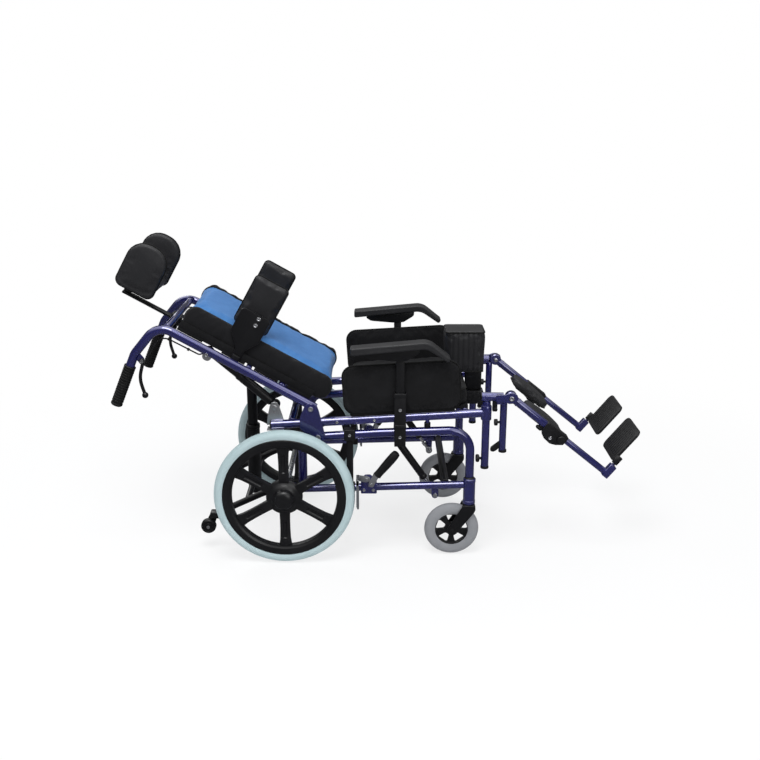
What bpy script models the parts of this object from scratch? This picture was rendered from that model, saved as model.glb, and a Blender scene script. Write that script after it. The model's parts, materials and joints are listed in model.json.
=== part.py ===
"""Reclining wheelchair with a tilting seat, sixteen-inch rear wheels and front castors.

Lengths are metres. In the design frame the rear axle lies at x = 0, the floor at z = 0,
+X is the chair's front and -Y its right-hand side (suffix R, the other side is L).
One root empty moves the whole chair so that x = 0 is the middle of its length.
"""

import math

import bmesh
import bpy
from mathutils import Matrix, Vector

# Overall places
SHIFT_X = 0.26657
GAP = 0.0003
SIDES = (("R", -1.0), ("L", 1.0))

# Base frame
FRAME_Y = 0.195
TUBE_R = 0.0125
LOWER_R = 0.011
UPRIGHT_X = 0.050
FRONT_X = 0.528
RAIL_REAR_Z = 0.3575
RAIL_FRONT_Z = 0.3805
LOWER_REAR_Z = 0.200
LOWER_FRONT_Z = 0.214

# Wheels
REAR_R = 0.200
REAR_Z = 0.200
REAR_Y = 0.250
TYRE_W = 0.034
RIM_R = 0.1755
AXLE_R = 0.008
CASTOR_R = 0.079
CASTOR_X = 0.479
CASTOR_Y = 0.200
CASTOR_HALF_W = 0.013
ANTI_Y = 0.170
ANTI_WHEEL = (-0.234, 0.072)
ANTI_WHEEL_R = 0.022

# Seat, tilting about TILT, and back, reclining about RECLINE
TILT = (0.096, 0.365)
RECLINE = (0.077, 0.449)
SEAT_Z0 = 0.3984
SEAT_SLOPE = 0.0596
SEAT_REAR_X = -0.040
SEAT_FRONT_X = 0.562
PIN_R = 0.004
PIN_CLEAR = 0.0003
EAR_Y0 = 0.2085
EAR_Y1 = 0.2135
BACK_U = (-0.871, 0.491)
BACK_N = (0.491, 0.871)
BACK_TUBE_N = 0.006
BACK_BEND_U = 0.4795

# Struts
STRUT_Y = 0.160
RECLINE_FOOT = (-0.027, 0.446)
RECLINE_HEAD = (-0.208, 0.604)
TILT_STRUT_Y = 0.170
TILT_FOOT = (0.430, 0.180)
TILT_HEAD = (0.323, 0.335)
RECLINE_ROD_R = 0.0115
TILT_ROD_R = 0.005

# Legrests
HANGER_X = 0.5705
POST_R = 0.011
POST_BORE_R = 0.0085
SECOND_POST_X = 0.6200
HANGER_TOP_Z = 0.480
KNEE = (0.6385, 0.479)
LEG_A = (0.777, -0.6295)
LEG_B = (0.6295, 0.777)
LEG_LENGTH = 0.370

# Colours
INDIGO = (0.022, 0.022, 0.150)
BLACK = (0.014, 0.014, 0.016)
PAD_BLACK = (0.020, 0.020, 0.022)
SILVER = (0.62, 0.63, 0.65)
TYRE_GREY = (0.46, 0.58, 0.59)
CASTOR_GREY = (0.27, 0.28, 0.31)
CUSHION_BLUE = (0.085, 0.235, 0.55)


def clear_scene():
    for obj in list(bpy.data.objects):
        bpy.data.objects.remove(obj, do_unlink=True)


def new_collection(name):
    group = bpy.data.collections.new(name)
    bpy.context.scene.collection.children.link(group)
    return group


clear_scene()
PARTS = new_collection("reclining_wheelchair")
WORK = new_collection("cutters")


def add_root():
    """The empty that carries every part and shifts the design frame to the object's frame."""
    root = bpy.data.objects.new("chair_root", None)
    PARTS.objects.link(root)
    root.location = (-SHIFT_X, 0.0, 0.0)
    return root


ROOT = add_root()


def material(name, colour, roughness, metallic=0.0):
    mat = bpy.data.materials.new(name)
    mat.use_nodes = True
    shader = mat.node_tree.nodes["Principled BSDF"]
    shader.inputs["Base Color"].default_value = (*colour, 1.0)
    shader.inputs["Roughness"].default_value = roughness
    shader.inputs["Metallic"].default_value = metallic
    return mat


def work_object(mesh):
    obj = bpy.data.objects.new("shape", mesh)
    obj.hide_render = True
    obj.display_type = "WIRE"
    WORK.objects.link(obj)
    return obj


def from_bmesh(bm):
    bmesh.ops.recalc_face_normals(bm, faces=bm.faces)
    mesh = bpy.data.meshes.new("shape")
    bm.to_mesh(mesh)
    bm.free()
    return work_object(mesh)


def bake(obj):
    """Replace an object's mesh or curve with its evaluated mesh, in place, with welded caps."""
    bpy.context.view_layer.update()
    graph = bpy.context.evaluated_depsgraph_get()
    mesh = bpy.data.meshes.new_from_object(obj.evaluated_get(graph))
    mesh.transform(obj.matrix_world)
    bpy.data.objects.remove(obj, do_unlink=True)
    bm = bmesh.new()
    bm.from_mesh(mesh)
    bmesh.ops.remove_doubles(bm, verts=bm.verts, dist=0.00002)
    bm.to_mesh(mesh)
    bm.free()
    return work_object(mesh)


def joined(first, *others, operation="UNION"):
    for other in others:
        mod = first.modifiers.new("join", "BOOLEAN")
        mod.operation = operation
        mod.object = other
        mod.solver = "EXACT"
        first = bake(first)
        bpy.data.objects.remove(other, do_unlink=True)
    return first


def cut(first, *others):
    return joined(first, *others, operation="DIFFERENCE")


def box(x_range, y_range, z_range, bevel=0.0):
    spans = [sorted(span) for span in (x_range, y_range, z_range)]
    size = Vector([span[1] - span[0] for span in spans])
    middle = Vector([0.5 * (span[0] + span[1]) for span in spans])
    bm = bmesh.new()
    bmesh.ops.create_cube(bm, size=1.0, matrix=Matrix.Translation(middle) @ Matrix.Diagonal((*size, 1.0)))
    if bevel:
        bmesh.ops.bevel(bm, geom=bm.edges[:], offset=bevel, segments=2, profile=0.5, affect="EDGES")
    return from_bmesh(bm)


def rod(start, end, radius, sides=10):
    """A cylinder from one point to another."""
    start = Vector(start)
    axis = Vector(end) - start
    turn = axis.to_track_quat("Z", "Y").to_matrix().to_4x4()
    place = Matrix.Translation(start + 0.5 * axis) @ turn
    bm = bmesh.new()
    bmesh.ops.create_cone(bm, cap_ends=True, segments=sides, radius1=radius, radius2=radius,
                          depth=axis.length, matrix=place)
    return from_bmesh(bm)


def pin(point, y_range, radius, side, sides=10):
    """A cylinder along Y at an (x, z) point, between two distances from the middle plane."""
    low, high = y_range
    return rod((point[0], side * low, point[1]), (point[0], side * high, point[1]), radius, sides)


def rounded(points, radii, steps=5):
    """A path through (x, z) points with each inner corner replaced by an arc."""
    points = [Vector(point) for point in points]
    path = [points[0]]
    for before, corner, after, radius in zip(points, points[1:], points[2:], radii):
        inward = (before - corner).normalized()
        outward = (after - corner).normalized()
        half = 0.5 * inward.angle(outward)
        reach = radius / math.tan(half)
        centre = corner + (inward + outward).normalized() * (radius / math.sin(half))
        first = corner + inward * reach - centre
        last = corner + outward * reach - centre
        for step in range(steps + 1):
            share = step / steps
            direction = first.lerp(last, share).normalized()
            path.append(centre + direction * radius)
    path.append(points[-1])
    return path


def tube(points, radius, y, resolution=3):
    """A round tube in a plane of constant y, through (x, z) points."""
    curve = bpy.data.curves.new("tube", "CURVE")
    curve.dimensions = "3D"
    curve.bevel_depth = radius
    curve.bevel_resolution = resolution
    curve.use_fill_caps = True
    spline = curve.splines.new("POLY")
    spline.points.add(len(points) - 1)
    for target, point in zip(spline.points, points):
        target.co = (point[0], y, point[1], 1.0)
    return bake(work_object(curve))


def plate(outline, y_range):
    """A flat plate with an (x, z) outline, between two y values."""
    low, high = sorted(y_range)
    curve = bpy.data.curves.new("plate", "CURVE")
    curve.dimensions = "2D"
    curve.fill_mode = "BOTH"
    curve.extrude = 0.5 * (high - low)
    spline = curve.splines.new("POLY")
    spline.points.add(len(outline) - 1)
    spline.use_cyclic_u = True
    for target, point in zip(spline.points, outline):
        target.co = (point[0], point[1], 0.0, 1.0)
    obj = work_object(curve)
    obj.matrix_world = Matrix.Translation((0.0, 0.5 * (low + high), 0.0)) @ Matrix.Rotation(
        math.radians(90.0), 4, "X")
    return bake(obj)


def turned(profile, place, steps=32, closed=False):
    """A profile of (radius, height) points turned about the local Z of a placing matrix."""
    mesh = bpy.data.meshes.new("profile")
    verts = [(radius, 0.0, height) for radius, height in profile]
    edges = [(index, index + 1) for index in range(len(verts) - 1)]
    if closed:
        edges.append((len(verts) - 1, 0))
    mesh.from_pydata(verts, edges, [])
    obj = work_object(mesh)
    mod = obj.modifiers.new("turn", "SCREW")
    mod.axis = "Z"
    mod.steps = steps
    mod.render_steps = steps
    mod.use_merge_vertices = True
    mod.merge_threshold = 0.00005
    obj.matrix_world = place
    obj = bake(obj)
    bm = bmesh.new()
    bm.from_mesh(obj.data)
    bmesh.ops.recalc_face_normals(bm, faces=bm.faces)
    bm.to_mesh(obj.data)
    bm.free()
    return obj


def along_y(point, y, side):
    """The placing matrix whose local Z is the outward Y direction of a side."""
    turn = Matrix.Rotation(math.radians(-90.0 * side), 4, "X")
    return Matrix.Translation((point[0], side * y, point[1])) @ turn


def soft_block(size, crown, edge, corner, place, cuts=3):
    """A cushion: a cage with drawn-in edges, rings near its corners and a crowned top."""
    ring = (cuts - 1) / (cuts + 1)
    bm = bmesh.new()
    bmesh.ops.create_cube(bm, size=2.0)
    bmesh.ops.subdivide_edges(bm, edges=bm.edges[:], cuts=cuts, use_grid_fill=True)
    half = Vector(size) * 0.5
    for vert in bm.verts:
        share = vert.co.copy()
        borders = sum(abs(value) > 0.99 for value in share)
        shrink = edge if borders > 1 else 0.0
        for axis in range(3):
            value = share[axis]
            if abs(abs(value) - ring) < 0.01:
                value = math.copysign(max(1.0 - corner / half[axis], ring), value)
            vert.co[axis] = value * (half[axis] - shrink)
        if share.z > 0.99:
            vert.co.z += crown * (1.0 - share.x ** 2) * (1.0 - share.y ** 2)
    obj = from_bmesh(bm)
    mod = obj.modifiers.new("soft", "SUBSURF")
    mod.levels = 1
    mod.render_levels = 1
    obj.matrix_world = place
    return bake(obj)


def finish(name, obj, mat, pivot=None, smooth=True):
    """Name a part, put its origin on its joint and hang it on the root."""
    obj.name = name
    obj.data.name = name
    obj.hide_render = False
    obj.display_type = "TEXTURED"
    if pivot is not None:
        offset = Vector(pivot)
        obj.data.transform(Matrix.Translation(-offset))
        obj.location = offset
    obj.data.materials.clear()
    obj.data.materials.append(mat)
    if smooth:
        obj.data.shade_smooth()
        obj.data.set_sharp_from_angle(angle=math.radians(35.0))
    WORK.objects.unlink(obj)
    PARTS.objects.link(obj)
    obj.parent = ROOT
    return obj


def seat_z(x):
    """Height of the seat rail's centre line."""
    return SEAT_Z0 + SEAT_SLOPE * x


def back_point(u, n):
    """The (x, z) point u up the back from the recline pivot and n in front of it."""
    return (RECLINE[0] + BACK_U[0] * u + BACK_N[0] * n, RECLINE[1] + BACK_U[1] * u + BACK_N[1] * n)


def leg_point(a, b):
    """The (x, z) point a down the leg from the knee and b in front of the leg."""
    return (KNEE[0] + LEG_A[0] * a + LEG_B[0] * b, KNEE[1] + LEG_A[1] * a + LEG_B[1] * b)


def between(start, end, distance):
    """The (x, z) point at a distance from start towards end."""
    start = Vector(start)
    return tuple(start + (Vector(end) - start).normalized() * distance)


def slab(to_world, u_range, n_range, y_range):
    """A bar square to a tilted frame, from u and n ranges and a y range."""
    corners = [(u_range[0], n_range[0]), (u_range[1], n_range[0]),
               (u_range[1], n_range[1]), (u_range[0], n_range[1])]
    return plate([to_world(u, n) for u, n in corners], y_range)


def frame_material():
    return material("indigo_paint", INDIGO, 0.28, 0.55)


def black_paint():
    return material("black_paint", BLACK, 0.40, 0.20)


def moulded_black():
    return material("moulded_black", BLACK, 0.55)


def soft_black():
    return material("padding_black", PAD_BLACK, 0.75)


def bright_metal():
    return material("bright_metal", SILVER, 0.30, 1.0)


def base_side_frame(tag, side):
    """Top rail, front down tube, lower rail, rear upright and black middle upright, welded."""
    y = side * FRAME_Y
    rail = rounded([(UPRIGHT_X, LOWER_REAR_Z + 0.002), (UPRIGHT_X, RAIL_REAR_Z), (0.265, 0.372),
                    (FRONT_X, RAIL_FRONT_Z), (FRONT_X, 0.190)], [0.030, 0.9, 0.060], 4)
    frame = tube(rail, TUBE_R, y)
    lower = tube([(0.0, LOWER_REAR_Z), (FRONT_X, LOWER_FRONT_Z)], LOWER_R, y)
    boss = pin((0.0, REAR_Z), (0.1795, 0.2135), 0.018, side, 12)
    housing = rod((FRONT_X, side * CASTOR_Y, 0.158), (FRONT_X, side * CASTOR_Y, 0.236), 0.018, 12)
    upright = box((0.175, 0.195), (side * 0.188, side * 0.202), (0.200, 0.368))
    foot_lug = box((0.420, 0.440), (side * 0.186, side * 0.194), (0.169, 0.212))
    foot_pin = pin(TILT_FOOT, (0.158, 0.190), PIN_R, side)
    tilt_pin = pin(TILT, (0.190, 0.2172), PIN_R, side)
    tilt_head = pin(TILT, (0.2140, 0.2185), 0.0075, side, 6)
    frame = joined(frame, lower, boss, housing, upright, foot_lug, foot_pin, tilt_pin, tilt_head)
    bore = pin((0.0, REAR_Z), (0.150, 0.240), AXLE_R + PIN_CLEAR, side, 12)
    stem = rod((FRONT_X, side * CASTOR_Y, 0.140), (FRONT_X, side * CASTOR_Y, 0.226), 0.0065, 12)
    frame = cut(frame, bore, stem)
    return finish("base_side_frame_" + tag, frame, frame_material())


def base_cross_tube():
    reach = FRAME_Y - LOWER_R - GAP
    obj = rod((0.460, -reach, 0.2122), (0.460, reach, 0.2122), LOWER_R, 12)
    return finish("base_cross_tube", obj, black_paint())


def rear_axle():
    reach = 0.2865
    obj = rod((0.0, -reach, REAR_Z), (0.0, reach, REAR_Z), AXLE_R, 12)
    return finish("rear_axle", obj, bright_metal())


def rear_wheel(tag, side):
    """A six-spoked moulded rim with a domed hub, and its solid tyre."""
    place = along_y((0.0, REAR_Z), REAR_Y, side)
    half = 0.5 * TYRE_W
    ring = turned([(0.1500, -0.010), (0.1500, 0.010), (0.1560, 0.0145), (RIM_R, 0.0145),
                   (RIM_R, -0.0145), (0.1560, -0.0145)], place, 32, closed=True)
    hub = turned([(0.0, -0.028), (0.024, -0.028), (0.030, -0.012), (0.052, -0.008), (0.052, 0.004),
                  (0.040, 0.014), (0.027, 0.020), (0.025, 0.034), (0.018, 0.040), (0.0, 0.041)],
                 place, 16)
    rim = joined(ring, hub)
    for spoke in range(6):
        turn = Matrix.Rotation(math.radians(60.0 * spoke), 4, "Z")
        bm = bmesh.new()
        bmesh.ops.create_cube(bm, size=1.0)
        for vert in bm.verts:
            wide = 0.034 if vert.co.y > 0.0 else 0.028
            vert.co = Vector((vert.co.x * wide, 0.096 + vert.co.y * 0.114, vert.co.z * 0.015 - 0.001))
        arm = from_bmesh(bm)
        arm.matrix_world = place @ turn
        rim = joined(rim, bake(arm))
    rim = cut(rim, pin((0.0, REAR_Z), (0.210, 0.2872), AXLE_R + PIN_CLEAR, side, 12))
    centre = (0.0, side * REAR_Y, REAR_Z)
    finish("rear_rim_" + tag, rim, moulded_black(), centre)
    inner = RIM_R + GAP
    profile = [(inner, -0.0130), (inner, 0.0130), (REAR_R - 0.011, half), (REAR_R, 0.0055),
               (REAR_R, -0.0055), (REAR_R - 0.011, -half)]
    tyre = turned(profile, place, 32, closed=True)
    finish("rear_tyre_" + tag, tyre, material("tyre_grey", TYRE_GREY, 0.75), centre)


def castor(tag, side):
    """A swivelling fork with its stem, and the wheel that turns in it."""
    y = side * CASTOR_Y
    stem = rod((FRONT_X, y, 0.152), (FRONT_X, y, 0.222), 0.006, 12)
    crown = box((0.516, 0.546), (y - 0.0205, y + 0.0205), (0.1512, 0.1572))
    outline = [(0.509, 0.1566), (0.5452, 0.1566), (0.5452, 0.142), (0.493, 0.072), (0.486, 0.066),
               (0.479, 0.064), (0.472, 0.066), (0.466, 0.074), (0.466, 0.084)]
    legs = [plate(outline, (y + low, y + low + 0.005)) for low in (-0.0215, 0.0165)]
    bolt = rod((CASTOR_X, y - 0.0250, CASTOR_R), (CASTOR_X, y + 0.0250, CASTOR_R), PIN_R)
    fork = joined(stem, crown, *legs, bolt)
    finish("castor_fork_" + tag, fork, black_paint(), (FRONT_X, y, 0.158))
    place = along_y((CASTOR_X, CASTOR_R), CASTOR_Y, side)
    wide = CASTOR_HALF_W
    tyre = turned([(0.049, -0.010), (0.049, 0.010), (0.060, wide), (CASTOR_R, 0.005),
                   (CASTOR_R, -0.005), (0.060, -wide)], place, 20, closed=True)
    disc = turned([(0.0, 0.014), (0.015, 0.014), (0.017, 0.005), (0.051, 0.005), (0.051, -0.005),
                   (0.017, -0.005), (0.015, -0.014), (0.0, -0.014)], place, 16)
    wheel = joined(tyre, disc)
    for window in range(5):
        angle = math.radians(90.0 + 72.0 * window)
        spot = (CASTOR_X + 0.033 * math.cos(angle), CASTOR_R + 0.033 * math.sin(angle))
        wheel = cut(wheel, pin(spot, (CASTOR_Y - 0.02, CASTOR_Y + 0.02), 0.0105, side, 6))
    wheel = cut(wheel, pin((CASTOR_X, CASTOR_R), (0.170, 0.230), PIN_R + PIN_CLEAR, side))
    grey = material("castor_grey", CASTOR_GREY, 0.7)
    finish("castor_wheel_" + tag, wheel, grey, (CASTOR_X, y, CASTOR_R))


def anti_tip_frame():
    """Two tail tubes clamped on the axle, their cross tube and the telescopic rear post."""
    post_x = -0.115
    cross_z = 0.157
    pieces = [rod((post_x, -ANTI_Y, cross_z), (post_x, ANTI_Y, cross_z), 0.009),
              rod((post_x, 0.0, 0.110), (post_x, 0.0, 0.330), 0.020, 12),
              rod((post_x, 0.0, 0.325), (post_x, 0.0, 0.460), 0.0145, 12)]
    tail = rounded([(-0.008, 0.188), (-0.060, 0.181), (-0.150, 0.139), (-0.213, 0.108)], [0.12, 0.3], 2)
    for _, side in SIDES:
        pieces.append(tube(tail, 0.0095, side * ANTI_Y))
        pieces.append(box((-0.020, 0.020), (side * 0.160, side * 0.178), (0.178, 0.222)))
        pieces.append(box((-0.228, -0.200), (side * 0.1515, side * 0.1805), (0.0975, 0.118)))
        cheek = [(-0.226, 0.112), (-0.204, 0.112), (-0.222, 0.064), (-0.234, 0.059), (-0.246, 0.064),
                 (-0.246, 0.080)]
        pieces.append(plate(cheek, (side * 0.1505, side * 0.1565)))
        pieces.append(pin(ANTI_WHEEL, (0.152, 0.1825), PIN_R, side))
    frame = joined(*pieces)
    frame = cut(frame, rod((0.0, -0.25, REAR_Z), (0.0, 0.25, REAR_Z), AXLE_R + PIN_CLEAR, 12))
    return finish("anti_tip_frame", frame, black_paint())


def anti_tip_wheel(tag, side):
    place = along_y(ANTI_WHEEL, ANTI_Y, side)
    wheel = turned([(0.0043, 0.010), (0.017, 0.010), (ANTI_WHEEL_R, 0.006), (ANTI_WHEEL_R, -0.006),
                    (0.017, -0.010), (0.0043, -0.010)], place, 16, closed=True)
    centre = (ANTI_WHEEL[0], side * ANTI_Y, ANTI_WHEEL[1])
    return finish("anti_tip_wheel_" + tag, wheel, moulded_black(), centre)


BRAKE_PIVOT = (0.246, 0.222)
SHOE_PIVOT = (0.234, 0.240)
GRIP_START = (0.262, 0.252)
GRIP_END = (0.320, 0.323)


def brake_bracket(tag, side):
    outline = [(0.216, 0.192), (0.262, 0.192), (0.262, 0.228), (0.244, 0.250), (0.228, 0.250),
               (0.216, 0.232)]
    bracket = plate(outline, (side * 0.2064, side * 0.2120))
    lever_pin = pin(BRAKE_PIVOT, (0.209, 0.2185), PIN_R, side)
    shoe_pin = pin(SHOE_PIVOT, (0.209, 0.2245), PIN_R, side)
    bracket = joined(bracket, lever_pin, shoe_pin)
    return finish("brake_bracket_" + tag, bracket, bright_metal())


def brake_lever(tag, side):
    arm = plate([(0.237, 0.216), (0.250, 0.213), (0.270, 0.250), (0.262, 0.262), (0.254, 0.258),
                 (0.240, 0.231)], (side * 0.2135, side * 0.2175))
    y = side * 0.2227
    grip = rod((GRIP_START[0], y, GRIP_START[1]), (GRIP_END[0], y, GRIP_END[1]), 0.013, 12)
    lever = joined(arm, grip)
    lever = cut(lever, pin(BRAKE_PIVOT, (0.19, 0.24), PIN_R + PIN_CLEAR, side))
    pivot = (BRAKE_PIVOT[0], side * 0.2155, BRAKE_PIVOT[1])
    return finish("brake_lever_" + tag, lever, moulded_black(), pivot)


def brake_shoe(tag, side):
    arm = plate([(0.204, 0.236), (0.230, 0.231), (0.243, 0.236), (0.243, 0.246), (0.232, 0.250),
                 (0.204, 0.254)], (side * 0.2190, side * 0.2230))
    bar = box((0.2035, 0.2115), (side * 0.2190, side * 0.2620), (0.236, 0.254))
    block = box((0.2035, 0.2115), (side * 0.2370, side * 0.2620), (0.165, 0.254))
    shoe = joined(arm, bar, block)
    shoe = cut(shoe, pin(SHOE_PIVOT, (0.20, 0.24), PIN_R + PIN_CLEAR, side))
    pivot = (SHOE_PIVOT[0], side * 0.2210, SHOE_PIVOT[1])
    return finish("brake_shoe_" + tag, shoe, bright_metal(), pivot)


def seat_frame():
    """Two rails, three cross tubes, the hinge plates, strut clevises, stops and front blocks."""
    pieces = []
    for x in (0.020, 0.262, 0.512):
        pieces.append(rod((x, -FRAME_Y, seat_z(x)), (x, FRAME_Y, seat_z(x)), 0.011))
    pieces.append(box((0.514, 0.580), (-0.021, 0.021), (0.400, 0.440)))
    for _, side in SIDES:
        rail = [(SEAT_REAR_X, seat_z(SEAT_REAR_X)), (SEAT_FRONT_X, seat_z(SEAT_FRONT_X))]
        pieces.append(tube(rail, TUBE_R, side * FRAME_Y))
        hinge = [(0.082, 0.350), (0.110, 0.350), (0.114, 0.380), (0.094, 0.464), (0.062, 0.464),
                 (0.046, 0.425), (0.046, 0.388)]
        pieces.append(plate(hinge, (side * EAR_Y0, side * EAR_Y1)))
        pieces.append(box((0.052, 0.104), (side * 0.200, side * 0.2095), (0.396, 0.410)))
        pieces.append(pin(RECLINE, (0.188, 0.2110), PIN_R, side))
        clevis = [(-0.050, 0.392), (0.002, 0.394), (-0.014, 0.456), (-0.027, 0.461), (-0.040, 0.456)]
        pieces.append(plate(clevis, (side * 0.1835, side * 0.1890)))
        pieces.append(pin(RECLINE_FOOT, (0.147, 0.1860), PIN_R, side))
        pieces.append(rod((0.405, side * FRAME_Y, 0.3895), (0.405, side * FRAME_Y, 0.418), 0.009))
        y = side * FRAME_Y
        pieces.append(rod((HANGER_X, y, 0.266), (HANGER_X, y, 0.4655), POST_R, 12))
        pieces.append(rod((HANGER_X, y, 0.412), (HANGER_X, y, 0.454), 0.0150, 12))
        lug = [(0.310, 0.326), (0.336, 0.326), (0.338, 0.422), (0.308, 0.420)]
        pieces.append(plate(lug, (side * 0.1500, side * 0.1560)))
        pieces.append(box((0.310, 0.336), (side * 0.1520, side * 0.1900), (0.407, 0.418)))
    frame = joined(*pieces)
    for _, side in SIDES:
        frame = cut(frame, pin(TILT, (0.205, 0.230), PIN_R + PIN_CLEAR, side))
        y = side * FRAME_Y
        frame = cut(frame, rod((HANGER_X, y, 0.300), (HANGER_X, y, 0.480), POST_BORE_R, 12))
    slot = box((0.5385, 0.5615), (-0.0075, 0.0075), (0.380, 0.460))
    frame = cut(frame, slot)
    pivot = (TILT[0], 0.0, TILT[1])
    return finish("seat_frame", frame, frame_material(), pivot)


def seat_place(x, height, y=0.0):
    """The placing matrix of a piece lying parallel to the seat rails."""
    lean = Matrix.Rotation(-math.atan(SEAT_SLOPE), 4, "Y")
    return Matrix.Translation((x, y, seat_z(x) + height)) @ lean


def seat_pan():
    outline = [(0.186, seat_z(0.186) + 0.0118), (0.520, seat_z(0.520) + 0.0118),
               (0.520, seat_z(0.520) + 0.0203), (0.186, seat_z(0.186) + 0.0203)]
    obj = plate(outline, (-0.181, 0.181))
    return finish("seat_pan", obj, moulded_black(), smooth=False)


def seat_cushion():
    size = (0.334, 0.354, 0.048)
    obj = soft_block(size, 0.006, 0.004, 0.030, seat_place(0.353, 0.0206 + 0.5 * size[2]))
    return finish("seat_cushion", obj, material("seat_blue", CUSHION_BLUE, 0.8))


def side_panel(tag, side):
    """The padded panel beside the hip, a slightly swollen pad with round corners."""
    middle = seat_place(0.3315, 0.0910, side * 0.2035)
    stand = Matrix.Rotation(math.radians(-90.0 * side), 4, "X")
    obj = soft_block((0.330, 0.142, 0.018), 0.002, 0.003, 0.028, middle @ stand, 2)
    return finish("side_panel_" + tag, obj, soft_black())


def armrest_socket(tag, side):
    outer = box((0.311, 0.343), (side * 0.2160, side * 0.2335), (0.344, 0.500), 0.002)
    clamp = box((0.313, 0.341), (side * 0.2079, side * 0.2180), (0.405, 0.430))
    socket = joined(outer, clamp)
    socket = cut(socket, box((0.3150, 0.3390), (side * 0.2195, side * 0.2300), (0.352, 0.520)))
    return finish("armrest_socket_" + tag, socket, moulded_black())


def armrest_post(tag, side):
    post = box((0.3154, 0.3386), (side * 0.2199, side * 0.2296), (0.370, 0.604))
    under = plate([(0.228, 0.6137), (0.244, 0.598), (0.312, 0.592), (0.345, 0.594), (0.376, 0.614),
                   (0.380, 0.6281)], (side * 0.2165, side * 0.2330))
    obj = joined(post, under)
    return finish("armrest_post_" + tag, obj, black_paint())


def armrest_pad(tag, side):
    """A flat pad that droops at its front end."""
    top = rounded([(0.189, 0.632), (0.405, 0.6515), (0.465, 0.603)], [0.05], 4)
    low = rounded([(0.457, 0.5915), (0.4000, 0.6305), (0.189, 0.6105)], [0.04], 4)
    pad = plate(top + low, (side * 0.2065, side * 0.2500))
    mod = pad.modifiers.new("edge", "BEVEL")
    mod.width = 0.005
    mod.segments = 2
    mod.limit_method = "ANGLE"
    mod.angle_limit = math.radians(50.0)
    pad = bake(pad)
    return finish("armrest_pad_" + tag, pad, material("armrest_black", (0.05, 0.05, 0.055), 0.45))


def pommel():
    """A padded pommel between the knees on a flat stem in the seat's front socket."""
    place = Matrix.Translation((0.5195, 0.0, 0.568))
    pad = soft_block((0.114, 0.100, 0.129), 0.003, 0.002, 0.012, place, 2)
    stem = box((0.5389, 0.5611), (-0.0071, 0.0071), (0.402, 0.540))
    obj = joined(stem, pad)
    return finish("pommel", obj, soft_black(), (0.550, 0.0, 0.420))


def legrest_hanger(tag, side):
    """The swing-away bracket: hinge post, top tube, second post, hook, latch and knee ear."""
    y = side * FRAME_Y
    post = rod((HANGER_X, y, 0.304), (HANGER_X, y, 0.478), POST_BORE_R - PIN_CLEAR, 12)
    top = tube([(0.556, HANGER_TOP_Z), (0.613, KNEE[1])], TUBE_R, y)
    second = rod((SECOND_POST_X, y, 0.317), (SECOND_POST_X, y, 0.462), POST_R, 12)
    hook = plate([(0.616, 0.352), (0.616, 0.332), (0.594, 0.316), (0.586, 0.318), (0.588, 0.328)],
                 (side * 0.1900, side * 0.2000))
    latch = box((0.5870, 0.6010), (side * 0.1880, side * 0.2020), (0.437, 0.471))
    ear = plate([(0.596, 0.458), (0.632, 0.461), (0.656, 0.470), (0.656, 0.488), (0.636, 0.497),
                 (0.596, 0.496)], (side * EAR_Y0, side * EAR_Y1))
    weld = box((0.598, 0.614), (side * 0.198, side * 0.2095), (0.4605, 0.490))
    knee_pin = pin(KNEE, (0.186, 0.2110), PIN_R, side)
    obj = joined(post, top, second, hook, latch, ear, weld, knee_pin)
    return finish("legrest_hanger_" + tag, obj, frame_material(), (HANGER_X, y, HANGER_TOP_Z))


def leg_tube(tag, side):
    """The elevating leg: knee knuckle, upper tube, locking block, pad bracket and inner tube."""
    y = side * FRAME_Y
    knuckle = pin(KNEE, (0.1850, 0.2060), 0.017, side, 12)
    upper = tube([leg_point(0.003, 0.0), leg_point(0.172, 0.0)], 0.0115, y)
    block = slab(leg_point, (0.128, 0.205), (-0.034, 0.0125), (side * 0.1800, side * 0.2100))
    shelf = slab(leg_point, (0.135, 0.165), (-0.0240, -0.0180), (side * 0.1000, side * 0.1815))
    inner = tube([leg_point(0.190, 0.0), leg_point(LEG_LENGTH, 0.0)], 0.0095, y)
    heel = slab(leg_point, (LEG_LENGTH - 0.016, LEG_LENGTH + 0.004), (-0.012, 0.030),
                (side * 0.1842, side * 0.2062))
    hinge = leg_point(LEG_LENGTH - 0.006, 0.045)
    start = leg_point(LEG_LENGTH - 0.006, 0.0)
    bar = rod((start[0], side * 0.190, start[1]), (hinge[0], side * 0.190, hinge[1]), 0.005)
    obj = joined(knuckle, upper, block, shelf, inner, heel, bar)
    obj = cut(obj, pin(KNEE, (0.17, 0.23), PIN_R + PIN_CLEAR, side))
    return finish("leg_tube_" + tag, obj, frame_material(), (KNEE[0], y, KNEE[1]))


def calf_pad(tag, side):
    """A pad between the legs, level with the upper tube and resting on the leg's bracket."""
    lean = math.atan2(-LEG_A[1], LEG_A[0])
    centre = leg_point(0.133, -0.0040)
    place = Matrix.Translation((centre[0], side * 0.129, centre[1])) @ Matrix.Rotation(lean, 4, "Y")
    obj = soft_block((0.134, 0.098, 0.027), 0.004, 0.003, 0.014, place, 2)
    return finish("calf_pad_" + tag, obj, soft_black())


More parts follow.
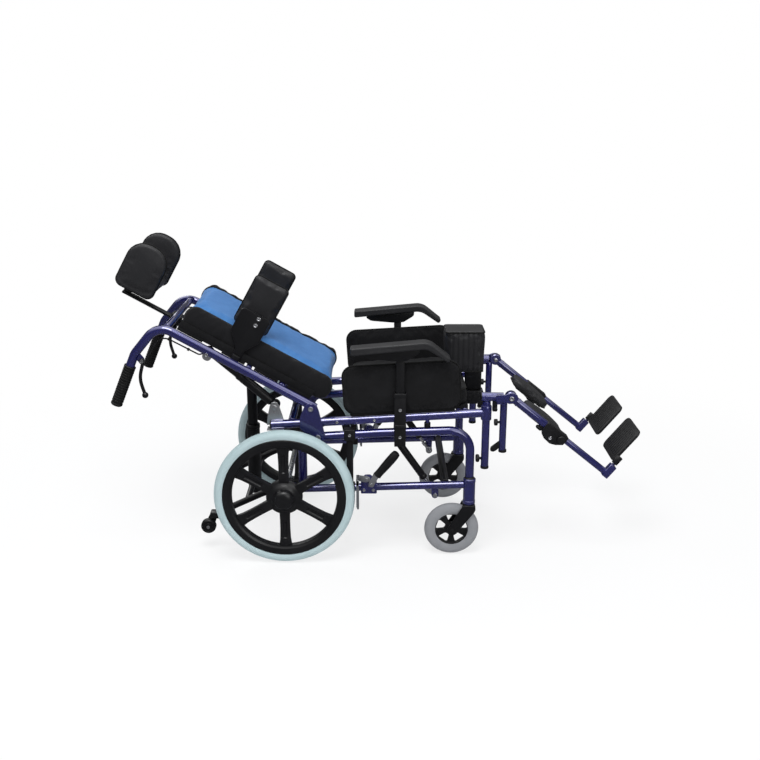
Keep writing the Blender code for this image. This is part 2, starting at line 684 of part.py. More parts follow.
def footplate(tag, side):
    """A flat plate that folds up about the short bar on the leg tube's end."""
    place_a = LEG_LENGTH - 0.006
    sheet = slab(leg_point, (place_a - 0.004, place_a + 0.004), (0.034, 0.150),
                 (side * 0.040, side * 0.178))
    start = leg_point(place_a, 0.0340)
    end = leg_point(place_a, 0.0600)
    sleeve = rod((start[0], side * 0.190, start[1]), (end[0], side * 0.190, end[1]), 0.0095)
    web = slab(leg_point, (place_a - 0.003, place_a + 0.003), (0.0360, 0.0580),
               (side * 0.170, side * 0.186))
    obj = joined(sheet, web, sleeve)
    low = leg_point(place_a, 0.020)
    high = leg_point(place_a, 0.055)
    obj = cut(obj, rod((low[0], side * 0.190, low[1]), (high[0], side * 0.190, high[1]), 0.0053))
    pivot = (start[0], side * 0.190, start[1])
    return finish("footplate_" + tag, obj, moulded_black(), pivot)


def strut_body(start, end, y, side, radius, length, bore_r):
    """A strut's cylinder: an eye at its start, and a bore from its open end."""
    tip = between(start, end, length)
    body = rod((start[0], side * y, start[1]), (tip[0], side * y, tip[1]), radius)
    body = joined(body, pin(start, (y - 0.0095, y + 0.0095), radius, side))
    low = between(start, end, 0.0135)
    high = between(start, end, length + 0.02)
    return cut(body, rod((low[0], side * y, low[1]), (high[0], side * y, high[1]), bore_r + PIN_CLEAR))


def strut_rod(start, end, y, side, radius, hidden, eye_r):
    """A strut's rod, from inside the cylinder to the eye at its end."""
    inner = between(start, end, hidden)
    shaft = rod((inner[0], side * y, inner[1]), (end[0], side * y, end[1]), radius)
    return joined(shaft, pin(end, (y - 0.008, y + 0.008), eye_r, side))


def recline_strut(tag, side):
    """The recline strut: the cylinder turns on the seat clevis and the rod runs up to the back."""
    y = STRUT_Y
    body = strut_body(RECLINE_FOOT, RECLINE_HEAD, y, side, 0.0140, 0.135, RECLINE_ROD_R)
    body = cut(body, pin(RECLINE_FOOT, (y - 0.03, y + 0.03), PIN_R + PIN_CLEAR, side))
    shaft = strut_rod(RECLINE_FOOT, RECLINE_HEAD, y, side, RECLINE_ROD_R, 0.030, 0.0130)
    pivot = (RECLINE_FOOT[0], side * y, RECLINE_FOOT[1])
    finish("recline_cylinder_" + tag, body, black_paint(), pivot)
    finish("recline_rod_" + tag, shaft, black_paint(), pivot)


def tilt_strut(tag, side):
    """The tilt strut: the rod turns on the base pin and the cylinder runs up to the seat lug."""
    y = TILT_STRUT_Y
    body = strut_body(TILT_HEAD, TILT_FOOT, y, side, 0.0105, 0.135, TILT_ROD_R)
    shaft = strut_rod(TILT_HEAD, TILT_FOOT, y, side, TILT_ROD_R, 0.025, 0.0105)
    shaft = cut(shaft, pin(TILT_FOOT, (y - 0.03, y + 0.03), PIN_R + PIN_CLEAR, side))
    pivot = (TILT_FOOT[0], side * y, TILT_FOOT[1])
    finish("tilt_cylinder_" + tag, body, black_paint(), pivot)
    finish("tilt_rod_" + tag, shaft, bright_metal(), pivot)


LEVER_PIVOT = (-0.388, 0.585)
LEVER_TIP = (-0.385, 0.487)
HANDLE_BEND = (-0.408, 0.605)
HANDLE_END = (-0.468, 0.462)
GRIP_TOP = (-0.4225, 0.5705)


def back_frame():
    """Two canes with bent push handles, three cross bars, the headrest socket and the lugs."""
    pieces = []
    for u, n, radius in ((0.100, BACK_TUBE_N, 0.010), (0.205, 0.0075, 0.0085), (0.455, 0.003, 0.010)):
        x, z = back_point(u, n)
        pieces.append(rod((x, -FRAME_Y, z), (x, FRAME_Y, z), radius))
    pieces.append(slab(back_point, (0.440, 0.472), (-0.0300, -0.0020), (-0.022, 0.022)))
    for _, side in SIDES:
        y = side * FRAME_Y
        cane = rounded([back_point(-0.012, 0.004), back_point(BACK_BEND_U, 0.003), HANDLE_BEND,
                        HANDLE_END], [0.050, 0.060], 4)
        pieces.append(tube(cane, TUBE_R, y))
        pieces.append(pin(RECLINE_HEAD, (0.1765, 0.1900), 0.0080, side, 12))
        lug = [(-0.412, 0.598), (-0.394, 0.606), (-0.380, 0.590), (-0.384, 0.578), (-0.394, 0.576)]
        pieces.append(plate(lug, (side * 0.1920, side * 0.1985)))
        pieces.append(pin(LEVER_PIVOT, (0.196, 0.2075), 0.0030, side))
    frame = joined(*pieces)
    for _, side in SIDES:
        frame = cut(frame, pin(RECLINE, (0.175, 0.230), PIN_R + PIN_CLEAR, side))
    frame = cut(frame, slab(back_point, (0.420, 0.490), (-0.0220, -0.0130), (-0.0125, 0.0125)))
    return finish("back_frame", frame, frame_material(), (RECLINE[0], 0.0, RECLINE[1]))


def back_panel():
    """The thin board between the back's cross bars and its cushion."""
    obj = slab(back_point, (0.015, 0.428), (0.0163, 0.0183), (-0.148, 0.148))
    return finish("back_panel", obj, moulded_black(), smooth=False)


def back_cushion():
    """The deep back cushion: black sides round a blue panel, with rounded ends."""
    lean = Matrix.Rotation(math.atan2(BACK_U[1], -BACK_U[0]), 4, "Y")
    size = (0.462, 0.330, 0.066)
    centre = back_point(0.200, 0.0185 + 0.5 * size[2])
    place = Matrix.Translation((centre[0], 0.0, centre[1])) @ lean
    obj = soft_block(size, 0.010, 0.005, 0.032, place)
    return finish("back_cushion", obj, material("back_blue", CUSHION_BLUE, 0.8))


def push_grip(tag, side):
    y = side * FRAME_Y
    sleeve = rod((GRIP_TOP[0], y, GRIP_TOP[1]), (-0.4705, y, 0.4560), 0.0165, 12)
    bore_end = (HANDLE_END[0] - 0.0002, HANDLE_END[1] - 0.0005)
    bore = tube([(-0.4130, 0.5932), bore_end], TUBE_R + GAP, y)
    return finish("push_grip_" + tag, cut(sleeve, bore), moulded_black())


def hand_lever(tag, side):
    """The squeeze lever in front of the grip, with a ball tip."""
    y = side * 0.2030
    hub = pin(LEVER_PIVOT, (0.1990, 0.2065), 0.0080, side)
    blade = tube(rounded([(-0.386, 0.583), (-0.398, 0.535), LEVER_TIP], [0.08], 2), 0.0035, y, 1)
    bm = bmesh.new()
    middle = Matrix.Translation((LEVER_TIP[0], y, LEVER_TIP[1]))
    bmesh.ops.create_uvsphere(bm, u_segments=8, v_segments=5, radius=0.009, matrix=middle)
    lever = joined(hub, blade, from_bmesh(bm))
    lever = cut(lever, pin(LEVER_PIVOT, (0.18, 0.22), 0.0033, side))
    pivot = (LEVER_PIVOT[0], y, LEVER_PIVOT[1])
    return finish("hand_lever_" + tag, lever, black_paint(), pivot)


def lateral_support(tag, side):
    """A trunk pad on a bent bracket whose foot lies beside the back tube."""
    lean = Matrix.Rotation(math.atan2(BACK_U[1], -BACK_U[0]), 4, "Y")
    centre = back_point(0.256, 0.1705)
    stand = Matrix.Rotation(math.radians(90.0 * side), 4, "X")
    place = Matrix.Translation((centre[0], side * 0.1165, centre[1])) @ lean @ stand
    pad = soft_block((0.104, 0.153, 0.027), 0.003, 0.002, 0.009, place, 2)
    arm = slab(back_point, (0.236, 0.266), (0.131, 0.149), (side * 0.122, side * 0.1745))
    outline = [(0.300, 0.151), (0.212, 0.151), (0.212, 0.085), (0.238, 0.045), (0.238, 0.007),
               (0.264, 0.007), (0.264, 0.045), (0.300, 0.085)]
    leg = plate([back_point(*point) for point in outline], (side * 0.1705, side * 0.1750))
    foot = slab(back_point, (0.240, 0.262), (0.0060, 0.0260), (side * 0.1730, side * 0.1820))
    obj = joined(pad, arm, leg, foot)
    return finish("lateral_support_" + tag, obj, soft_black())


def headrest_stem():
    bar = slab(back_point, (0.400, 0.628), (-0.0215, -0.0135), (-0.0120, 0.0120))
    lug = slab(back_point, (0.605, 0.626), (-0.0150, 0.0050), (-0.0055, 0.0055))
    x, z = back_point(0.616, -0.003)
    hinge = rod((x, -0.0160, z), (x, 0.0160, z), PIN_R)
    return finish("headrest_stem", joined(bar, lug, hinge), bright_metal())


def headrest_pad():
    """A winged head pad: a U in plan, with rounded wing corners."""
    half, wing, base, reach = 0.110, 0.026, 0.042, 0.1505
    low, high, rear = 0.532, 0.652, 0.0195
    front = rear + reach
    corners = [(high, 0.08), (high, rear), (low, rear), (low, front), (high, front), (high, 0.08)]
    outline = rounded(corners, [0.020, 0.020, 0.056, 0.056], 4)
    pad = plate([back_point(*point) for point in outline[:-1]], (-half, half))
    mod = pad.modifiers.new("edge", "BEVEL")
    mod.width = 0.011
    mod.segments = 2
    mod.limit_method = "ANGLE"
    mod.angle_limit = math.radians(50.0)
    pad = bake(pad)
    inner = half - wing
    hollow = slab(back_point, (0.480, 0.750), (rear + base, 0.300), (-inner, inner))
    pad = cut(pad, hollow)
    x, z = back_point(0.616, -0.003)
    ears = [slab(back_point, (0.606, 0.626), (-0.0105, 0.0300), (y, y + 0.006))
            for y in (-0.0125, 0.0065)]
    pad = joined(pad, *ears)
    pad = cut(pad, rod((x, -0.03, z), (x, 0.03, z), PIN_R + PIN_CLEAR))
    return finish("headrest_pad", pad, soft_black(), (x, 0.0, z))


def build_side(tag, side):
    base_side_frame(tag, side)
    rear_wheel(tag, side)
    castor(tag, side)
    anti_tip_wheel(tag, side)
    brake_bracket(tag, side)
    brake_lever(tag, side)
    brake_shoe(tag, side)
    side_panel(tag, side)
    armrest_socket(tag, side)
    armrest_post(tag, side)
    armrest_pad(tag, side)
    legrest_hanger(tag, side)
    leg_tube(tag, side)
    calf_pad(tag, side)
    footplate(tag, side)
    recline_strut(tag, side)
    tilt_strut(tag, side)
    push_grip(tag, side)
    hand_lever(tag, side)
    lateral_support(tag, side)


def build():
    base_cross_tube()
    rear_axle()
    anti_tip_frame()
    seat_frame()
    seat_pan()
    seat_cushion()
    pommel()
    back_frame()
    back_panel()
    back_cushion()
    headrest_stem()
    headrest_pad()
    for tag, side in SIDES:
        build_side(tag, side)


build()
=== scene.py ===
# %% [markdown]
# A reclining wheelchair, dressed over its working frame. This lesson puts the surfaces
# that an eye sees over it: bent tubes, turned wheels, sewn pads and their finishes. Each
# new piece rides on the body of the frame that carries it.

# %% Load the frame
import json
import math
import bpy
import bmesh
from mathutils import Matrix, Vector

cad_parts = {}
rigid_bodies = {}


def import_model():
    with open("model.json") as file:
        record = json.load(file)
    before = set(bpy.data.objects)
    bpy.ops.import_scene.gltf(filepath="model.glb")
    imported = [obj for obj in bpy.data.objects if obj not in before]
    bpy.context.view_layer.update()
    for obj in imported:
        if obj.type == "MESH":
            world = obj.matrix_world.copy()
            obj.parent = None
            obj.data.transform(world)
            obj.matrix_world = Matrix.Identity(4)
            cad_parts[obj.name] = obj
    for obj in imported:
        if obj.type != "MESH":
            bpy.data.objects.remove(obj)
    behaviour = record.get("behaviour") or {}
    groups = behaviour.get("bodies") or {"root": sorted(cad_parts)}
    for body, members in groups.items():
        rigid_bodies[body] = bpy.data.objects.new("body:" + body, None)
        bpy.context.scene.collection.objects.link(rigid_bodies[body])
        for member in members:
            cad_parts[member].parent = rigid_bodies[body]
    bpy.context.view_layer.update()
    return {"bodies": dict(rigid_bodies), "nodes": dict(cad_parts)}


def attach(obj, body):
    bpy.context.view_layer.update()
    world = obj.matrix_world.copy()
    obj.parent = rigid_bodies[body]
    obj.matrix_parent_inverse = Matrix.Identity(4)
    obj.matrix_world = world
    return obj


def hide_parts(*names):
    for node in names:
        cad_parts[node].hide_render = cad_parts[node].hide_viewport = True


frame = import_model()

# %% [markdown]
# The chair was laid out with the rear axle at x = 0, but its own origin is under the
# middle of its length. Pieces are modelled in the axle's layout, where the maker's sizes
# are easy to read, and are slid back by this distance as they are finished.

# %% The two layouts
AXLE_TO_MIDDLE = 0.26657
NEAR, FAR = -1.0, 1.0
FRAME_Y = 0.195

# %% [markdown]
# The camera stands on the chair's right and looks down by 17 degrees, as the photograph
# does. The lens was found from the two rear wheels, the castors and the seat rails.

# %% Camera
bpy.ops.object.select_all(action="DESELECT")
CAMERA_PLACE = (0.271 - AXLE_TO_MIDDLE, -2.81, 1.328)
CAMERA_PITCH = 17.0
FOCAL_LENGTH, SENSOR_WIDTH = 46.42, 36.0
bpy.ops.object.camera_add(location=CAMERA_PLACE, rotation=(math.radians(90.0 - CAMERA_PITCH), 0.0, 0.0))
camera = bpy.context.object
camera.data.lens = FOCAL_LENGTH
camera.data.sensor_width = SENSOR_WIDTH
bpy.context.scene.camera = camera
print("camera", [round(value, 3) for value in camera.location])

# %% [markdown]
# The studio and the finishes are both wired from nodes, so a few small tools come first:
# a Math node, a Map Range node with smooth ends, and a mix of two shaders.

# %% Tools for wiring nodes


def math_node(tree, operation, first, second, clamp=False):
    """A Math node fed by sockets or numbers."""
    node = tree.nodes.new("ShaderNodeMath")
    node.operation = operation
    node.use_clamp = clamp
    for socket, value in zip(node.inputs, (first, second)):
        if isinstance(value, (int, float)):
            socket.default_value = value
        else:
            tree.links.new(value, socket)
    return node.outputs[0]


def stretch(tree, value, low, high, to_low=0.0, to_high=1.0):
    """A Map Range node with smooth ends."""
    node = tree.nodes.new("ShaderNodeMapRange")
    node.interpolation_type = "SMOOTHSTEP"
    tree.links.new(value, node.inputs["Value"])
    for label, number in zip(("From Min", "From Max", "To Min", "To Max"), (low, high, to_low, to_high)):
        node.inputs[label].default_value = number
    return node.outputs["Result"]


def mix_shaders(tree, share, first, second):
    """A Mix Shader node between two shader sockets."""
    node = tree.nodes.new("ShaderNodeMixShader")
    for value, socket in zip((share, first, second), node.inputs):
        tree.links.new(value, socket)
    return node.outputs[0]


def light_path(tree):
    """The outputs of a Light Path node, which tells one kind of ray from another."""
    return tree.nodes.new("ShaderNodeLightPath").outputs


def glow(tree, kind, colour):
    """A plain light of one colour: a Background in the world, an Emission on a surface."""
    node = tree.nodes.new(kind)
    node.inputs["Color"].default_value = (*colour, 1.0)
    return node


# %% [markdown]
# A studio for a catalogue picture is a pale sweep with broad soft lamps. Here a large
# floor catches the shadow. The lamps are big area lights, so edges stay gentle. The world
# is white only where the camera looks past the floor. It lights the chair as a plain grey.
# A shiny surface sees a dark room with a bright ceiling, which draws a pale line along
# the top of each round tube and leaves its sides deep.

# %% Floor, lamps and surroundings
WHITE, DIM_FLOOR, GREY_SKY = (1.0, 1.0, 1.0), (0.16, 0.16, 0.17), (0.86, 0.88, 0.92)
SKY_STRENGTH = 0.62
CHAIR_MIDDLE = (0.0, 0.0, 0.4)

bpy.ops.mesh.primitive_plane_add(size=24.0, location=(0.0, 4.0, -0.0015))
floor = bpy.context.object
floor.name = "studio_floor"


def aimed(direction):
    """The rotation that turns local Z along a direction."""
    return Vector(direction).to_track_quat("Z", "Y").to_euler()


def add_area_lamp(name, place, aim, size, watts):
    """A square soft lamp that looks at a point."""
    bpy.ops.object.light_add(type="AREA", location=place)
    lamp = bpy.context.object
    lamp.name = name
    lamp.data.size = size
    lamp.data.energy = watts
    lamp.rotation_euler = aimed(Vector(place) - Vector(aim))


add_area_lamp("lamp_over", (-0.3, -1.4, 3.2), CHAIR_MIDDLE, 1.5, 62.0)
add_area_lamp("lamp_near", (1.6, -3.2, 1.6), CHAIR_MIDDLE, 1.8, 26.0)
add_area_lamp("lamp_back", (-1.8, 2.4, 2.2), (0.0, 0.0, 0.5), 1.6, 24.0)
scene = bpy.context.scene
scene.view_settings.view_transform = "Standard"
world = bpy.data.worlds.new("studio_world")
scene.world = world
world.use_nodes = True


def ceiling_for_gloss(tree, plain):
    """What a shiny surface sees: dark round about, and bright overhead."""
    axes = tree.nodes.new("ShaderNodeSeparateXYZ")
    tree.links.new(tree.nodes.new("ShaderNodeTexCoord").outputs["Generated"], axes.inputs[0])
    room = tree.nodes.new("ShaderNodeBackground")
    tree.links.new(stretch(tree, axes.outputs["Z"], 0.30, 0.92, 0.12, 2.4), room.inputs["Strength"])
    return mix_shaders(tree, light_path(tree)["Is Glossy Ray"], plain, room.outputs[0])


def shown_white(tree, plain):
    """White for what the camera sees, also through glass."""
    path = light_path(tree)
    through = math_node(tree, "MAXIMUM", path["Is Camera Ray"], path["Is Transmission Ray"])
    return mix_shaders(tree, through, plain, glow(tree, "ShaderNodeBackground", WHITE).outputs[0])


sky = world.node_tree
grey_light = sky.nodes["Background"]
grey_light.inputs["Color"].default_value = (*GREY_SKY, 1.0)
grey_light.inputs["Strength"].default_value = SKY_STRENGTH
surroundings = shown_white(sky, ceiling_for_gloss(sky, grey_light.outputs[0]))
sky.links.new(surroundings, sky.nodes["World Output"].inputs[0])

floor.data.transform(floor.matrix_world)
floor.matrix_world = Matrix.Identity(4)
floor_paint = bpy.data.materials.new("studio_floor_paint")
floor_paint.use_nodes = True
floor_tree = floor_paint.node_tree
floor_shader = floor_tree.nodes["Principled BSDF"]
floor_shader.inputs["Base Color"].default_value = (0.93, 0.93, 0.93, 1.0)
floor_shader.inputs["Roughness"].default_value = 0.9
floor_shader.inputs["Specular IOR Level"].default_value = 0.1
floor.data.materials.append(floor_paint)


def fade_floor(tree, shader):
    """Show the floor mostly white near the chair and fully white further out, with its shadow."""
    reach = tree.nodes.new("ShaderNodeVectorMath")
    reach.operation = "LENGTH"
    tree.links.new(tree.nodes.new("ShaderNodeTexCoord").outputs["Object"], reach.inputs[0])
    share = stretch(tree, reach.outputs["Value"], 0.5, 2.1, 0.74, 1.0)
    path = light_path(tree)
    shown = math_node(tree, "MULTIPLY", path["Is Camera Ray"], share)
    faded = mix_shaders(tree, shown, shader.outputs[0], glow(tree, "ShaderNodeEmission", WHITE).outputs[0])
    dim = glow(tree, "ShaderNodeEmission", DIM_FLOOR).outputs[0]
    tree.links.new(mix_shaders(tree, path["Is Glossy Ray"], faded, dim),
                   tree.nodes["Material Output"].inputs[0])


fade_floor(floor_tree, floor_shader)
print("studio ready")

# %% [markdown]
# Blender's operators act on whatever is selected, so every tool below starts from an
# empty selection. A piece is made with one primitive, worked in edit mode, and then
# settled: its place is baked into its mesh, and it is slid to the chair's own origin.

# %% Tools for selecting and settling


def start_fresh():
    """Leave edit mode and select nothing."""
    active = bpy.context.object
    if active is not None and active.mode != "OBJECT":
        bpy.ops.object.mode_set(mode="OBJECT")
    bpy.ops.object.select_all(action="DESELECT")


def pick(obj):
    """Select one object alone, and make it the active one."""
    start_fresh()
    obj.select_set(True)
    bpy.context.view_layer.objects.active = obj


def start_editing(kind, action="SELECT"):
    """Enter edit mode on VERT, EDGE or FACE, with all of it selected or none."""
    bpy.ops.object.mode_set(mode="EDIT")
    bpy.ops.mesh.select_mode(type=kind)
    bpy.ops.mesh.select_all(action=action)


def stop_editing():
    """Go back to object mode."""
    bpy.ops.object.mode_set(mode="OBJECT")


def extrude(offset):
    """Extrude what is selected, and move it."""
    bpy.ops.mesh.extrude_region_move(TRANSFORM_OT_translate={"value": offset})


def bake_place(obj):
    """Put an object's place, turn and size into its mesh."""
    pick(obj)
    bpy.ops.object.transform_apply(location=True, rotation=True, scale=True)
    return obj


def apply_all(obj):
    """Apply every modifier in order."""
    pick(obj)
    for modifier in list(obj.modifiers):
        bpy.ops.object.modifier_apply(modifier=modifier.name)
    return obj


def soften_edges(obj, width, segments=2, angle=40.0):
    """Bevel the edges that are sharper than an angle."""
    modifier = obj.modifiers.new("edges", "BEVEL")
    modifier.width = width
    modifier.segments = segments
    modifier.limit_method = "ANGLE"
    modifier.angle_limit = math.radians(angle)
    modifier.harden_normals = False
    return apply_all(obj)


def smooth(obj, angle=35.0):
    """Shade smooth, but keep edges sharper than an angle crisp."""
    pick(obj)
    bpy.ops.object.shade_smooth_by_angle(angle=math.radians(angle))
    return obj


def merge(name, *objs):
    """Join shells that are welded or bolted into one piece."""
    start_fresh()
    for obj in objs:
        obj.select_set(True)
    bpy.context.view_layer.objects.active = objs[0]
    if len(objs) > 1:
        bpy.ops.object.join()
    objs[0].name = name
    objs[0].data.name = name
    return objs[0]


def outward(obj):
    """Weld doubles and turn every face outwards."""
    pick(obj)
    bpy.ops.object.mode_set(mode="EDIT")
    bpy.ops.mesh.select_all(action="SELECT")
    bpy.ops.mesh.remove_doubles(threshold=0.00001)
    bpy.ops.mesh.normals_make_consistent(inside=False)
    stop_editing()
    return obj


# %% [markdown]
# A bent tube is made as a tube bender makes it. A disc is pushed out along each straight
# run, and spun about the bend's centre where the tube turns. The same tool serves frames,
# cables, piping and levers. A flat plate is drawn by extruding one point round its
# outline, filling it and giving it thickness.

# %% Tools for tubes and plates


def bent_tube(name, corners, bends, radius, sides=24, steps=8, rounding=0.0):
    """A round tube through 3-D corner points, with a bend radius at each inner corner."""
    points = [Vector(corner) for corner in corners]
    heading = (points[1] - points[0]).normalized()
    start_fresh()
    bpy.ops.mesh.primitive_circle_add(vertices=sides, radius=radius, fill_type="NGON", location=points[0],
                                      rotation=aimed(heading))
    tube = bpy.context.object
    start_editing("FACE")
    here = points[0]
    for index, bend in enumerate(bends):
        corner = points[index + 1]
        arrive = (corner - points[index]).normalized()
        leave = (points[index + 2] - corner).normalized()
        turn = arrive.angle(leave)
        reach = bend * math.tan(0.5 * turn)
        begin = corner - arrive * reach
        extrude(begin - here)
        inward = (leave - arrive * arrive.dot(leave)).normalized()
        axis = leave.cross(arrive).normalized()
        bpy.ops.mesh.spin(steps=steps, angle=turn, center=begin + inward * bend, axis=axis)
        here = corner + leave * reach
    extrude(points[-1] - here)
    stop_editing()
    outward(bake_place(tube))
    if rounding:
        soften_edges(tube, rounding, 3, 60.0)
    tube.name = name
    return smooth(tube)


def draw_chain(points):
    """One vertex, extruded from point to point, left in edit mode with all selected."""
    points = [Vector(point) for point in points]
    start_fresh()
    bpy.ops.mesh.primitive_plane_add(size=0.0005, location=points[0])
    chain = bpy.context.object
    start_editing("VERT")
    bpy.ops.mesh.merge(type="CENTER")
    for before, after in zip(points, points[1:]):
        extrude(after - before)
    bpy.ops.mesh.select_all(action="SELECT")
    return chain


def flat_plate(name, outline, y_range, rounding=0.0008, segments=2):
    """A plate in an upright plane, drawn round its (x, z) outline and thickened along y."""
    low, high = sorted(y_range)
    plate = draw_chain([(x, low, z) for x, z in outline])
    bpy.ops.mesh.edge_face_add()
    bpy.ops.mesh.select_all(action="SELECT")
    extrude((0.0, high - low, 0.0))
    stop_editing()
    outward(bake_place(plate))
    if rounding:
        soften_edges(plate, rounding, segments)
    plate.name = name
    return smooth(plate)


# %% [markdown]
# Wheels, knobs and cylinders are spun from a half profile about their own axis. Straight
# bars, pins, square blocks and socket screws start from a primitive with its sharp edges
# taken off. Most of the chair lies in pairs, so these tools work on the near side.

# %% Tools for turned pieces, blocks and bars


def turned(name, profile, place, steps=64, closed=False):
    """A (radius, height) profile spun about the local Z axis of a place."""
    wheel = draw_chain([(radius, 0.0, height) for radius, height in profile])
    if closed:
        bpy.ops.mesh.edge_face_add()
        bpy.ops.mesh.delete(type="ONLY_FACE")
        bpy.ops.mesh.select_all(action="SELECT")
    bpy.ops.mesh.spin(steps=steps, angle=math.tau, center=(0.0, 0.0, 0.0), axis=(0.0, 0.0, 1.0))
    stop_editing()
    outward(bake_place(wheel))
    wheel.matrix_world = place
    bake_place(wheel)
    outward(wheel)
    wheel.name = name
    return smooth(wheel, 32.0)


def two_ends(half):
    """A whole profile from the half below its middle."""
    return [*half, *[(radius, -height) for radius, height in reversed(half)]]


def at(point, y):
    """An (x, z) point at a distance from the middle plane."""
    return (point[0], y, point[1])


def rotation(degrees, axis):
    """A turn about X, Y or Z."""
    return Matrix.Rotation(math.radians(degrees), 4, axis)


def facing_out(place):
    """The place of something turned whose axis points out of the near side of the chair."""
    x, distance, z = place
    return Matrix.Translation((x, -distance, z)) @ rotation(90.0, "X")


def block(name, x_range, y_range, z_range, rounding=0.001, segments=2):
    """A squared block with softened edges."""
    spans = [sorted(span) for span in (x_range, y_range, z_range)]
    start_fresh()
    bpy.ops.mesh.primitive_cube_add(size=1.0, location=[0.5 * sum(span) for span in spans])
    cube = bpy.context.object
    cube.scale = [span[1] - span[0] for span in spans]
    bake_place(cube)
    soften_edges(cube, rounding, segments, 30.0)
    cube.name = name
    return smooth(cube)


def bar(name, start, end, radius, sides=24, rounding=0.0008):
    """A straight round bar with broken end edges."""
    start, end = Vector(start), Vector(end)
    start_fresh()
    bpy.ops.mesh.primitive_cylinder_add(vertices=sides, radius=radius, depth=(end - start).length,
                                        location=0.5 * (start + end),
                                        rotation=aimed(end - start))
    rod = bake_place(bpy.context.object)
    soften_edges(rod, rounding, 2, 50.0)
    rod.name = name
    return smooth(rod)


def pin(name, point, start_y, end_y, *shape):
    """A bar that lies across the chair at an (x, z) point."""
    return bar(name, at(point, start_y), at(point, end_y), *shape)


def screw_head(name, centre, axis, radius=0.005, height=0.0028):
    """A button-head screw with a hexagon socket, standing on a surface."""
    centre, axis = Vector(centre), Vector(axis).normalized()
    start_fresh()
    bpy.ops.mesh.primitive_cylinder_add(vertices=24, radius=radius, depth=height,
                                        location=centre + axis * 0.5 * height,
                                        rotation=aimed(axis))
    head = bpy.context.object
    start_editing("FACE", "DESELECT")
    mesh = bmesh.from_edit_mesh(head.data)
    top = max(mesh.faces, key=lambda face: face.calc_center_median().z)
    top.select_set(True)
    bmesh.update_edit_mesh(head.data)
    bpy.ops.mesh.inset(thickness=radius * 0.52)
    extrude(-axis * height * 0.6)
    stop_editing()
    bake_place(head)
    soften_edges(head, radius * 0.16, 2, 50.0)
    head.name = name
    return smooth(head)


# %% [markdown]
# A finished piece is slid to the chair's own origin, given its finish and hung on the body
# that carries it, and the plain shapes of the frame that it stands for are hidden. A piece
# that the chair has on both sides is made once and mirrored.

# %% Tools for hanging a piece on the frame


def carry(obj, body, material, *nodes):
    """Slide a finished piece to the chair's origin, and hang it on its body."""
    obj.data.transform(Matrix.Translation((-AXLE_TO_MIDDLE, 0.0, 0.0)))
    if material is not None:
        obj.data.materials.clear()
        obj.data.materials.append(material)
    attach(obj, body)
    if nodes:
        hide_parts(*nodes)
    return obj


def mirrored(obj, name):
    """The same piece for the far side of the chair, with its own mesh."""
    start_fresh()
    twin = obj.copy()
    twin.data = obj.data.copy()
    bpy.context.collection.objects.link(twin)
    twin.name = name
    twin.data.name = name
    twin.data.transform(Matrix.Diagonal((1.0, -1.0, 1.0, 1.0)))
    twin.data.flip_normals()
    return twin


def both_sides(obj, stem, body_stem, material, node_stems=()):
    """Hang a right-hand piece and its mirrored twin on their own bodies."""
    twin = mirrored(obj, stem + "_L")
    obj.name = stem + "_R"
    obj.data.name = stem + "_R"
    for piece, tag in ((obj, "R"), (twin, "L")):
        body = body_stem if body_stem in frame["bodies"] else body_stem + "_" + tag
        carry(piece, body, material, *[node + "_" + tag for node in node_stems])
    return obj, twin


# %% [markdown]
# Finishes next. Most of them share three effects, so each effect is one node group with
# named inputs, made once and placed in each material with its own values. Wear lightens
# raised edges and roughens patches. Grain is the fine pebble of moulded plastic and
# rubber. Weave is a crossed thread pattern for cloth, and it marks the grooves between
# threads, which are darkened as painted shade. The shader stays in the material.

# %% A small kit for node groups


def new_group(name, inputs, outputs):
    """A shader node group with (name, type, default) inputs and (name, type) outputs."""
    group = bpy.data.node_groups.new(name, "ShaderNodeTree")
    for label, kind, value in inputs:
        socket = group.interface.new_socket(name=label, in_out="INPUT", socket_type=kind)
        if value is not None:
            socket.default_value = value
    for label, kind in outputs:
        group.interface.new_socket(name=label, in_out="OUTPUT", socket_type=kind)
    return group, group.nodes.new("NodeGroupInput"), group.nodes.new("NodeGroupOutput")


def noise(tree, place, scale, detail=3.0, roughness=0.55):
    """A Noise texture whose scale is a socket or a number."""
    node = tree.nodes.new("ShaderNodeTexNoise")
    tree.links.new(place, node.inputs["Vector"])
    if isinstance(scale, (int, float)):
        node.inputs["Scale"].default_value = scale
    else:
        tree.links.new(scale, node.inputs["Scale"])
    node.inputs["Detail"].default_value = detail
    node.inputs["Roughness"].default_value = roughness
    return node.outputs["Fac"]


# %% The shared effects


def make_wear():
    """Raised-edge wear and broad patches: Edge, Patch and a fine Height."""
    group, given, result = new_group(
        "edge_wear",
        [("Place", "NodeSocketVector", None), ("Scale", "NodeSocketFloat", 60.0),
         ("Amount", "NodeSocketFloat", 0.5)],
        [("Edge", "NodeSocketFloat"), ("Patch", "NodeSocketFloat"), ("Height", "NodeSocketFloat")])
    shape = group.nodes.new("ShaderNodeNewGeometry")
    raised = stretch(group, shape.outputs["Pointiness"], 0.53, 0.62)
    broken = noise(group, given.outputs["Place"], given.outputs["Scale"], 5.0, 0.7)
    chipped = math_node(group, "MULTIPLY", raised, stretch(group, broken, 0.42, 0.62))
    edge = math_node(group, "MULTIPLY", chipped, given.outputs["Amount"], True)
    patch = stretch(group, noise(group, given.outputs["Place"], 9.0, 4.0, 0.6), 0.3, 0.75)
    fine = noise(group, given.outputs["Place"], 420.0, 2.0, 0.5)
    group.links.new(edge, result.inputs["Edge"])
    group.links.new(patch, result.inputs["Patch"])
    group.links.new(fine, result.inputs["Height"])
    return group


